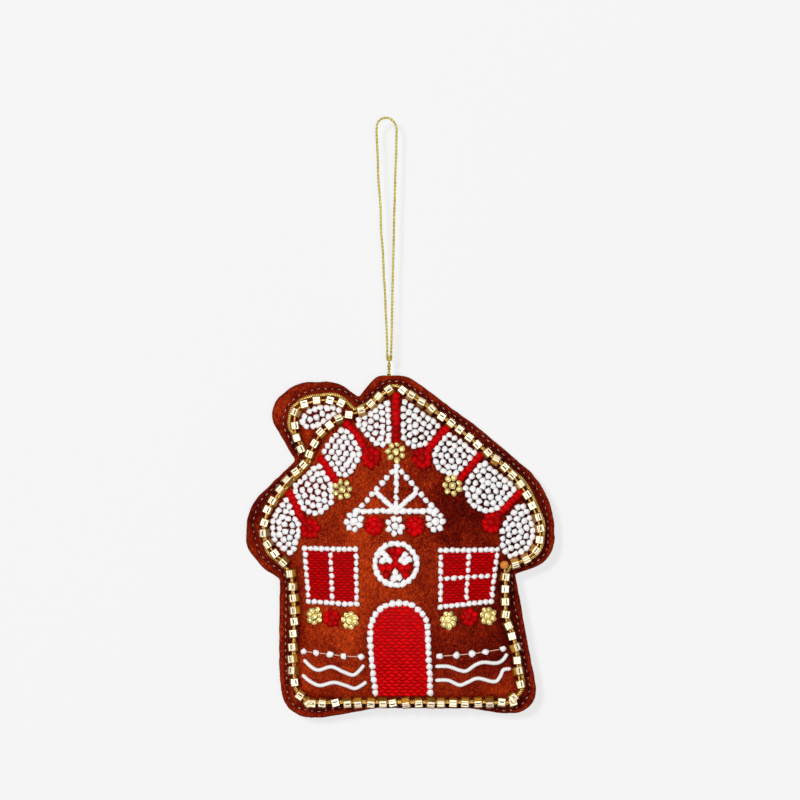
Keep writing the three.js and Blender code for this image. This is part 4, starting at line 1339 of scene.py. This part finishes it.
def knot_patterns(width):
    """Patterns of one french knot: thread wound into a lump with uneven corners."""
    # Turn from one shape to the next, how near to a corner a point moves with it, and the height
    turn_apart, near, tallness = 2.4, 0.88, 0.33
    made = []
    for variant in range(KNOT_SHAPES):
        deselect()
        bpy.ops.mesh.primitive_uv_sphere_add(segments=9, ring_count=6, radius=1)
        knot = bpy.context.object
        heights = np.array([v.co.z for v in knot.data.vertices])
        give_numbers(knot, "wrap", np.arccos(heights.clip(-1, 1)) / np.pi)
        start_editing(knot)
        mesh = bmesh.from_edit_mesh(knot.data)
        for vertex in mesh.verts:
            vertex.select_set(vertex.co.z > 0.99)
        bmesh.update_edit_mesh(knot.data)
        bpy.ops.transform.translate(value=(0.05, 0, -0.18))
        for turn, pull in KNOT_CORNERS:
            swing = turn_apart * variant + turn
            drawn = Vector((math.cos(swing), math.sin(swing), -0.1))
            for vertex in mesh.verts:
                vertex.select_set(vertex.co.normalized().dot(drawn) > near)
            bmesh.update_edit_mesh(knot.data)
            bpy.ops.transform.translate(value=drawn * pull)
        bpy.ops.mesh.select_all(action="SELECT")
        bpy.ops.transform.vertex_random(offset=0.12, seed=variant + 1)
        bpy.ops.transform.resize(
            value=(width / 2, width / 2, width * tallness), center_override=(0, 0, 0)
        )
        end_editing(knot)
        smooth(knot)
        made.append(Pattern(knot))
    return made


class Knots:
    """French knots of one width, which chance turns, moves and sizes a little."""

    def __init__(self, width, chance):
        self.width = width
        self.chance = chance
        self.patterns = knot_patterns(width)

    def strayed(self, point, spread):
        return point + np.array([self.chance.gauss(0, spread) for _ in range(2)]) * MM

    def at(self, point, way, lift=0.30, stretch=(1, 1)):
        """One knot on the felt."""
        chance = self.chance
        size = (
            stretch[0] * chance.uniform(0.96, 1.10), stretch[1] * chance.uniform(0.88, 1.02),
            chance.uniform(0.85, 1.15),
        )
        turn, roll = chance.gauss(0, 0.25), chance.gauss(0, 0.14)
        matrix = laid(point, way, lift * self.width, turn, roll, size)
        matrix = matrix @ Matrix.Rotation(chance.gauss(0, 0.14), 4, "Y")
        pattern = chance.choice(self.patterns)
        return pattern, matrix @ Matrix.Rotation(chance.choice((0, math.pi)), 4, "Z")

    def row(self, line, pitch, stretch, closed=False):
        places, ways = spaced(line, pitch, closed)
        return [
            self.at(self.strayed(point, 0.06), way, stretch=stretch)
            for point, way in zip(places, ways)
        ]

    def rosette(self, mark, radius, petals):
        """Knots round a middle one, in a ring that is a little taller than wide."""
        chance, centre = self.chance, place(mark)
        start = chance.uniform(0, 2 * math.pi)
        parts = [self.at(centre, (1, 0), 0.4, (1.2, 1.3))]
        for i in range(petals):
            angle = start + 2 * math.pi * i / petals + chance.gauss(0, 0.05)
            way = np.array([math.cos(angle), math.sin(angle)])
            reach = radius - self.width / 2 + chance.gauss(0, 0.08) * MM
            parts.append(self.at(centre + way * reach * np.array([0.98, 1.06]), way))
        return parts


def thread_stitch(length, radius):
    """Pattern of one stitch: a thread that dips into the felt at both ends."""
    deselect()
    bpy.ops.mesh.primitive_uv_sphere_add(segments=6, ring_count=5, radius=1)
    stitch = bpy.context.object
    start_editing(stitch)
    lay_down()
    bpy.ops.transform.resize(value=(length / 2, radius, radius))
    end_editing(stitch)
    smooth(stitch)
    places = np.array([v.co for v in stitch.data.vertices])
    give_numbers(stitch, "wrap", np.abs(np.arctan2(places[:, 1], places[:, 2])) / np.pi)
    return Pattern(stitch)


class FELTHOUSE_OT_seam(bpy.types.Operator):
    """Running stitches of the seam, front and back"""
    bl_idname = "felthouse.seam"
    bl_label = "Seam"

    def execute(self, context):
        sizes = settings().felt
        stitch = thread_stitch(sizes.stitch, 0.2 * MM)
        chance = random.Random(3)
        front = [
            (stitch, laid(p, w, chance.uniform(-0.08, 0.12) * MM, chance.gauss(0, 0.12)))
            for p, w in zip(*spaced(seam_line, sizes.stitch_pitch, closed=True))
        ]
        mirror = Matrix.Diagonal((1, -1, 1, 1))
        back = [(pattern, mirror @ matrix @ mirror) for pattern, matrix in front]
        thread = floss_finish("seam_floss", sizes.thread, 0.9)
        for name, parts in (("front", front), ("back", back)):
            node = f"seam_thread_{name}"
            sew(node, parts, 5, "seam_thread", thread, f"seam_stitches_{name}")
        return {"FINISHED"}


class FELTHOUSE_OT_edge_cord(bpy.types.Operator):
    """Gold cord couched inside the seam"""
    bl_idname = "felthouse.edge_cord"
    bl_label = "Edge cord"

    def execute(self, context):
        sizes = settings().cords
        radius = sizes.edge_diameter / 2
        steps = 8
        flat, _ = spaced(rounded(EDGE_CORD), sizes.edge_twist / steps, closed=True)
        line = over_felt(flat, radius * 0.9)
        for _ in range(6):
            line[:, 1] = evened(line[:, 1])
        made = tube("couched_cord", line, two_ply(radius, 10), 1 / steps, closed=True)
        gilt = gilt_finish("edge_gold", sizes.gilt, sizes.gilt_dark)
        add_piece(made, "house", "edge_cord", "gold_cord", gilt)
        return {"FINISHED"}


def bevelled_box(size, bevel, segments):
    deselect()
    bpy.ops.mesh.primitive_cube_add(size=1, location=(0, 0, 0))
    box = bpy.context.object
    start_editing(box)
    bpy.ops.transform.resize(value=size)
    bpy.ops.mesh.bevel(offset=bevel, segments=segments)
    end_editing(box)
    return box


def cube_pattern(side):
    """Glass cube with softened edges."""
    box = bevelled_box((side, side, side), side * 0.09, 2)
    smooth(box)
    return Pattern(box)


def lining_pattern(side, slit, shift):
    """Square lining inside a cube, off its middle, with a dark slit along one edge of its top, a
    painted reflection.
    """
    box = bevelled_box((side * 0.80, side * 0.78, side * 0.78), side * 0.04, 1)
    start_editing(box)
    if slit:
        bpy.ops.mesh.select_all(action="DESELECT")
        mesh = bmesh.from_edit_mesh(box.data)
        for face in mesh.faces:
            face.select_set(face.normal.z > 0.9)
        bmesh.update_edit_mesh(box.data)
        bpy.ops.mesh.inset(thickness=side * 0.16)
        bpy.ops.transform.resize(value=(1.3, 0.34, 1))
        bpy.ops.transform.translate(value=(0, side * slit, 0))
        bpy.ops.mesh.extrude_region_move(TRANSFORM_OT_translate={"value": (0, 0, -side * 0.16)})
    bpy.ops.mesh.select_all(action="SELECT")
    bpy.ops.transform.translate(value=(side * shift, 0, 0))
    end_editing(box)
    for face in box.data.polygons:
        x, y, z = face.center / side
        # The dark slit in the top is a painted reflection
        sunk = slit and 0.1 < z < 0.375 and abs(y - slit) < 0.09 and abs(x - shift) < 0.32
        face.material_index = REFLECTION_SLIT if sunk else LINING if face.normal.z > 0.5 else GILDED
    give_numbers(box, "wrap", [v.co.y / side for v in box.data.vertices])
    return Pattern(box)


def round_bead_pattern(diameter):
    """Round bead: a short rounded tube, with its hole along x."""
    deselect()
    hole = 0.30 * diameter / 2
    wall = (diameter / 2 - hole) / 2
    bpy.ops.mesh.primitive_torus_add(
        major_segments=16, minor_segments=10, major_radius=hole + wall, minor_radius=wall
    )
    bead = bpy.context.object
    start_editing(bead)
    bpy.ops.transform.resize(value=(1, 1, 0.8 * diameter / 2 / wall))
    lay_down()
    end_editing(bead)
    smooth(bead)
    for face in bead.data.polygons:
        face.material_index = AMBER
    return Pattern(bead)


class FELTHOUSE_OT_cube_beads(bpy.types.Operator):
    """Lined glass cubes on their threads round the edge"""
    bl_idname = "felthouse.cube_beads"
    bl_label = "Cube beads"

    def execute(self, context):
        sizes = settings().beads
        bright_amber = scaled(sizes.amber, 1.9)
        # The linings glow a little, a painted glow; the dark slit is a painted reflection; the
        # clear glass's amber edges are painted glints
        gilded = lining_finish("gilt_sides", linear((214, 160, 58)), 0.08)
        finishes = [
            glass_finish("clear_glass", sizes.glass, sizes.amber),
            lining_finish("pale_lining", sizes.lining, 0.42),
            plain_finish("painted_reflection_slit", linear((34, 20, 8)), 0.5),
            gilded,
            glass_finish("amber_glass", bright_amber, bright_amber, 0.75),
        ]
        cube = cube_pattern(sizes.cube)
        linings = [lining_pattern(sizes.cube, slit, shift) for slit, shift in LININGS]
        ball = round_bead_pattern(sizes.cube * 0.95)
        cord_line = rounded(EDGE_CORD)
        over_cord = settings().cords.edge_diameter * 0.6
        chance = random.Random(sizes.seed_number)
        for run, marks in BEAD_RUNS.items():
            places, ways = spaced(sheet_line(marks), sizes.cube_pitch)
            over = distance_to(places, cord_line) < 0.8 * sizes.cube
            parts, centres = [], []
            for i, (point, way) in enumerate(zip(places, ways)):
                point = point + way * chance.uniform(-0.28, 0.28) * MM
                lift = sizes.cube * 0.5 + (over_cord if over[i] else 0.2 * MM)
                turn, roll = chance.gauss(0, 0.12), chance.gauss(0, 0.24)
                matrix = laid(point, way, lift, turn, roll, flatness=0.4)
                centres.append(matrix.translation.copy())
                if run == ROUND_ENDED_RUN and i == len(places) - 1:
                    parts.append((ball, matrix))
                else:
                    parts += [(cube, matrix), (chance.choice(linings), matrix)]
            made = copies(f"cube_beads_{run}", parts, 11)
            thread = tube("thread", smooth_line(centres, 3), np.full(6, 0.30 * MM))
            thread.data.materials.append(gilded)
            for finish in finishes:
                made.data.materials.append(finish)
            join(made, [thread])
            add_piece(made, "house", f"bead_strand_{run}", "lined_glass")
        return {"FINISHED"}


def packed(outline, pitch):
    """Places that fill an outline evenly, with the direction round its middle at each."""
    low, high = outline.min(0), outline.max(0)
    step, rounds = 0.15 * MM, 24
    grid = np.array([
        (x, z) for x in np.arange(low[0], high[0], step) for z in np.arange(low[1], high[1], step)
    ])
    grid = grid[inside(grid, outline)]
    depth = distance_to(grid, outline)
    middle = grid.mean(0)
    angle = np.arctan2(grid[:, 1] - middle[1], grid[:, 0] - middle[0])
    chosen = np.empty((0, 2))
    # Rings from the outline inwards
    level = 0.5 * pitch
    while level < depth.max():
        ring = np.flatnonzero(np.abs(depth - level) < 0.6 * step)
        for index in ring[np.argsort(angle[ring])]:
            if not len(chosen) or np.hypot(*(chosen - grid[index]).T).min() >= 0.94 * pitch:
                chosen = np.vstack([chosen, grid[index]])
        level += pitch * 0.9
    # Each place moves to the middle of what is nearest to it, and a wide gap gets one more
    for turn in range(rounds):
        gaps = np.linalg.norm(grid[:, None] - chosen[None], axis=2)
        nearest = gaps.argmin(1)
        widest = int(np.where(depth > 0.4 * pitch, gaps.min(1), 0).argmax())
        chosen = np.array([grid[nearest == i].mean(0) for i in range(len(chosen))])
        if turn % 4 == 0 and gaps[widest].min() > 0.80 * pitch:
            chosen = np.vstack([chosen, grid[widest]])
    ways = np.stack([middle[1] - chosen[:, 1], chosen[:, 0] - middle[0]], 1)
    return chosen, ways / np.hypot(*ways.T).clip(1e-9)[:, None]


class FELTHOUSE_OT_icing(bpy.types.Operator):
    """White knots that fill the icing on the roof and the chimney"""
    bl_idname = "felthouse.icing"
    bl_label = "Icing"

    def execute(self, context):
        white = white_floss("icing_floss")
        knots = Knots(settings().beads.icing_knot, random.Random(21))
        pitch, past_edge = 2.14 * MM, 0.35 * MM
        for node in ICING:
            outline = grown(outline_of(node), past_edge)
            parts = [
                knots.at(knots.strayed(point, 0.07), way)
                for point, way in zip(*packed(outline, pitch))
            ]
            sew(node, parts, 2, "white_thread", white)
        return {"FINISHED"}


class FELTHOUSE_OT_roof_bars(bpy.types.Operator):
    """Red knot bars between the icing, and the rosettes that they point at"""
    bl_idname = "felthouse.roof_bars"
    bl_label = "Roof bars"

    def execute(self, context):
        sizes = settings().beads
        red = red_floss("red_floss", 0.85)
        gold = gilt_knot_finish("gold_rosettes", sizes.gold)
        chance = random.Random(31)
        lobes, petals = Knots(sizes.lobe, chance), Knots(sizes.icing_knot, chance)
        radius, bar_end, pitch = 3.45 * MM, 3.4 * MM, 1.75 * MM
        for name, marks in BARS.items():
            line, hub = sheet_line(marks), ROOF_ROSETTES[name]
            clear = np.hypot(*(line - place(hub)).T) > bar_end
            bar = lobes.row(line[clear], pitch, (1, 1.15))
            if name in RED_ROSETTES:
                drop = bar + lobes.rosette(hub, radius, 8)
                sew(f"red_drop_{name}", drop, 4, "red_thread", red)
            else:
                sew(f"red_bar_{name}", bar, 4, "red_thread", red)
                rosette = petals.rosette(hub, radius, 7)
                sew(f"gold_rosette_{name}", rosette, 6, "gold_thread", gold)
        return {"FINISHED"}


class FELTHOUSE_OT_gable(bpy.types.Operator):
    """White gable of knots with its spokes, and the row of rosettes under it"""
    bl_idname = "felthouse.gable"
    bl_label = "Gable"

    def execute(self, context):
        sizes = settings().beads
        white, red = white_floss("gable_white"), red_floss("gable_red")
        chance = random.Random(41)
        knots, petals, lobes = (
            Knots(width, chance) for width in (sizes.knot, sizes.icing_knot, sizes.lobe)
        )
        apex, left, right = [place(m) for m in GABLE]
        hub = place(GABLE_HUB)
        upper, left_spoke, right_spoke = [place(m) for m in GABLE_SPOKES]
        parts = []
        for line, pitch, stretch in (
            ([apex, left], 2.5, (0.95, 0.92)),
            ([apex, right], 2.5, (0.95, 0.92)),
            ([left, right], 2.1, (1.15, 1)),
            ([upper, hub], 2.4, (1.1, 0.85)),
            ([left_spoke, hub], 1.1, (1, 0.85)),
            ([right_spoke, hub], 1.1, (1, 0.85)),
        ):
            parts += knots.row(line, pitch * MM, stretch)
        for end in ("left_end", "right_end"):
            parts += petals.rosette(GABLE_ROW[end], 3.4 * MM, 7)
        sew("gable_trim", parts, 3, "white_thread", white, "gable_knots")
        for spot, finish, slot, petal, count in (
            ("middle", white, "white_thread", petals, 7),
            ("left_red", red, "red_thread", lobes, 8),
            ("right_red", red, "red_thread", lobes, 8),
        ):
            parts = petal.rosette(GABLE_ROW[spot], 3.3 * MM, count)
            sew(f"gable_rosette_{spot}", parts, 3, slot, finish)
        return {"FINISHED"}


class FELTHOUSE_OT_round_window(bpy.types.Operator):
    """Round window of white and red knots"""
    bl_idname = "felthouse.round_window"
    bl_label = "Round window"

    def execute(self, context):
        knots = Knots(settings().beads.knot, random.Random(51))
        centre = place(ROUND_WINDOW)
        turns = np.linspace(0, 2 * np.pi, 72, endpoint=False)
        ring = centre + 6.9 * MM * np.stack([np.cos(turns), np.sin(turns)], 1)
        parts = knots.row(ring, 2.05 * MM, (1.12, 1), closed=True)
        for colour, floss, stretch in (
            ("white", white_floss, (1.1, 1.05)), ("red", red_floss, (1.25, 1.2)),
        ):
            for x, z in ROUND_WINDOW_KNOTS[colour]:
                point = centre + np.array([x, z]) * MM
                parts.append(knots.at(point, (x, z + 0.01), stretch=stretch))
            finish = floss(f"round_{colour}")
            sew(f"round_window_{colour}", parts, 8, f"{colour}_thread", finish)
            parts = []
        return {"FINISHED"}


def stitched_fill(name, outline, chance, rows, pitch, length, width, slant):
    """Rows of satin stitches over a pad, inside an outline, each row half a stitch along."""
    stitch = thread_stitch(1.0, 1.0)
    low, high = outline.min(0), outline.max(0)
    parts = []
    for row, level in enumerate(np.arange(low[1] + 0.45 * rows, high[1], rows)):
        for spot in np.arange(low[0] - (row % 2) * pitch / 2, high[0] + pitch, pitch):
            x = spot + chance.gauss(0, 0.05) * MM
            point = np.array([x, level + chance.gauss(0, 0.04) * MM])
            if not inside(point[None], outline)[0]:
                continue
            angle = chance.gauss(0, 0.06) + (slant if row % 2 else -slant)
            size = (length, width / 2, width / 2 * 0.8)
            matrix = laid(point, (math.cos(angle), math.sin(angle)), 0.45 * MM, size=size)
            parts.append((stitch, matrix))
    made = copies(name, parts, 9)
    points, faces = filled(outline, [], 1.1 * MM)
    felt = np.array([seat(point)[0].y for point in points])
    pad, _ = shell("pad", points, faces, felt - 0.4 * MM, felt + 0.3 * MM)
    # The pad takes a dark tone and the flanks' painted shade: painted shade between the rows
    give_numbers(pad, "tone", 0.9)
    give_numbers(pad, "wrap", 0.55)
    join(made, [pad])
    return made


class FELTHOUSE_OT_windows(bpy.types.Operator):
    """Square windows: red satin panes in frames of white knots"""
    bl_idname = "felthouse.windows"
    bl_label = "Windows"

    def execute(self, context):
        sizes = settings().beads
        white = white_floss("window_white")
        # The panes' red is darker than the red floss: partly the satin's own tone, partly painted
        # shade
        satin = scaled(sizes.red, 0.88)
        floss = floss_finish("window_floss", satin, 0.5, shine=0.03, deep=0.5, flank=0.6)
        chance = random.Random(61)
        knots = Knots(sizes.knot, chance)
        # Pitch of a row, how its knots are stretched, and how many are left out at each end
        level, upright, bar = (1.9, (0.9, 0.88), 0), (2.2, (1, 0.82), 1), (2.3, (0.92, 0.8), 1)
        for side, marks in WINDOWS.items():
            a, b, c, d = [place(m) for m in marks]
            rows = [([a, b], level), ([c, d], level), ([b, c], upright), ([d, a], upright)]
            rows.append(([(a + b) / 2, (c + d) / 2], bar))
            if side == "right":
                rows.append(([(b + c) / 2, (d + a) / 2], bar))
            parts = []
            for line, (pitch, stretch, ends) in rows:
                row = knots.row(line, pitch * MM, stretch)
                parts += row[ends:len(row) - ends]
            sew(f"window_frame_{side}", parts, 7, "white_thread", white)
            made = stitched_fill(
                f"window_pane_{side}", np.array([d, c, b, a]), chance, rows=0.90 * MM,
                pitch=2.2 * MM, length=2.3 * MM, width=0.92 * MM, slant=0.10,
            )
            add_piece(made, "house", f"window_fill_{side}", "red_thread", floss)
        return {"FINISHED"}


class FELTHOUSE_OT_sill_rosettes(bpy.types.Operator):
    """Gold and red rosettes under the windows"""
    bl_idname = "felthouse.sill_rosettes"
    bl_label = "Sill rosettes"

    def execute(self, context):
        sizes = settings().beads
        red = (red_floss("sill_red"), "red_thread")
        gold = (gilt_knot_finish("sill_gold", sizes.gold), "gold_thread")
        knots = Knots(sizes.knot, random.Random(71))
        for side, row in SILL_ROSETTES.items():
            for i, mark in enumerate(row, 1):
                finish, slot = red if i == 2 else gold
                parts = knots.rosette(mark, 2.95 * MM, 7)
                sew(f"sill_rosette_{side}_{i}", parts, i, slot, finish)
        return {"FINISHED"}


class FELTHOUSE_OT_door(bpy.types.Operator):
    """Arched door: rows of red floss in a border of white knots"""
    bl_idname = "felthouse.door"
    bl_label = "Door"

    def execute(self, context):
        sizes = settings().beads
        white = white_floss("door_white")
        satin = scaled(sizes.red, 1.16)
        floss = floss_finish("door_floss", satin, 0.5, shine=0.05, deep=0.5, flank=0.65)
        chance = random.Random(81)
        outline = rounded(DOOR)
        foot = [place(DOOR[-1]), place(DOOR[0])]
        start = int(np.argmin(np.hypot(*(outline - foot[0]).T)))
        arch = np.roll(outline, -start, 0)
        if np.hypot(*(arch[1] - foot[1])) < 1e-6:
            arch = np.roll(arch, -1, 0)[::-1]
        parts = Knots(sizes.knot, chance).row(arch, 2.25 * MM, (1.08, 1.0))
        sew("door_border", parts, 7, "white_thread", white)
        at_foot = outline[:, 1] < outline[:, 1].min() + 0.3 * MM
        outline = outline - np.stack([at_foot * 0, at_foot * 1.1 * MM], 1)
        made = stitched_fill(
            "door_floss_rows", outline, chance, rows=1.08 * MM, pitch=2.45 * MM,
            length=2.55 * MM, width=1.12 * MM, slant=0.22,
        )
        add_piece(made, "house", "door_fill", "red_thread", floss)
        return {"FINISHED"}


class FELTHOUSE_OT_waves(bpy.types.Operator):
    """White wavy cords beside the door"""
    bl_idname = "felthouse.waves"
    bl_label = "Waves"

    def execute(self, context):
        floss = floss_finish("wave_floss", settings().beads.white, 0.15)
        radius, step = 0.72 * MM, 0.17
        for name, marks in WAVES.items():
            flat, _ = spaced(sheet_line(marks), step * MM)
            line = over_felt(flat, radius * 0.75)
            steps = np.arange(len(line))
            thickness = 0.90 + 0.10 * np.sin(2 * np.pi * steps / 4)
            ends = (np.minimum(steps, steps[::-1]) * step / 0.6).clip(0, 1)
            thickness = thickness * np.sqrt(1 - (1 - ends) ** 2).clip(0.25, 1)
            made = tube(f"icing_wave_{name}_cord", line, np.full(9, radius), scale=thickness)
            give_numbers(made, "tone", 0.1)
            add_piece(made, "house", f"icing_wave_{name}", "white_thread", floss)
        return {"FINISHED"}


class FELTHOUSE_OT_garlands(bpy.types.Operator):
    """White knots on a thread over the waves"""
    bl_idname = "felthouse.garlands"
    bl_label = "Garlands"

    def execute(self, context):
        white = white_floss("garland_white")
        floss = floss_finish("garland_floss", settings().felt.thread, 0.3)
        knots = Knots(settings().beads.knot, random.Random(91))
        for side, marks in GARLANDS.items():
            spots = [place(m) for m in marks]
            parts = []
            for before, spot, after in zip(spots[:1] + spots, spots, spots[1:] + spots[-1:]):
                way = after - before
                parts.append(knots.at(spot, way / np.hypot(*way)))
            made = copies(f"garland_{side}_knots", parts, 2)
            made.data.materials.append(white)
            threads = []
            for a, b in zip(spots, spots[1:]):
                gap = (b - a) / np.hypot(*(b - a))
                flat, _ = spaced([a + gap * 1.1 * MM, b - gap * 1.1 * MM], 0.4 * MM)
                lifts = np.full(len(flat), 0.2)
                lifts[[0, -1]] = -0.1
                thread = tube("thread", over_felt(flat, lifts * MM), np.full(6, 0.20 * MM))
                give_numbers(thread, "tone", 0.2)
                thread.data.materials.append(floss)
                threads.append(thread)
            join(made, threads)
            add_piece(made, "house", f"garland_{side}", "white_thread")
        return {"FINISHED"}


OPERATORS = (
    FELTHOUSE_OT_stage,
    FELTHOUSE_OT_hanging_loop,
    FELTHOUSE_OT_neck,
    FELTHOUSE_OT_felt,
    FELTHOUSE_OT_seam,
    FELTHOUSE_OT_edge_cord,
    FELTHOUSE_OT_cube_beads,
    FELTHOUSE_OT_icing,
    FELTHOUSE_OT_roof_bars,
    FELTHOUSE_OT_gable,
    FELTHOUSE_OT_round_window,
    FELTHOUSE_OT_windows,
    FELTHOUSE_OT_sill_rosettes,
    FELTHOUSE_OT_door,
    FELTHOUSE_OT_waves,
    FELTHOUSE_OT_garlands,
)


class FELTHOUSE_PT_sidebar(bpy.types.Panel):
    """Steps that dress the house, in order"""
    bl_label = "Felt house"
    bl_idname = "FELTHOUSE_PT_sidebar"
    bl_space_type = "VIEW_3D"
    bl_region_type = "UI"
    bl_category = "House"

    def draw(self, context):
        for group in (settings().felt, settings().cords, settings().beads, settings().stage):
            box = self.layout.box()
            for name in group.__annotations__:
                box.prop(group, name)
        for operator in OPERATORS:
            self.layout.operator(operator.bl_idname)


CLASSES = (
    FeltSizes, CordSizes, BeadSizes, StageSizes, HouseSettings, *OPERATORS, FELTHOUSE_PT_sidebar,
)


def register():
    for made in CLASSES:
        bpy.utils.register_class(made)
    bpy.types.Scene.felt_house = PointerProperty(type=HouseSettings)


def unregister():
    del bpy.types.Scene.felt_house
    for made in reversed(CLASSES):
        bpy.utils.unregister_class(made)


def main():
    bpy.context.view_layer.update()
    register()
    deselect()
    for operator in OPERATORS:
        group, name = operator.bl_idname.split(".")
        getattr(getattr(bpy.ops, group), name)()


if __name__ == "__main__":
    main()
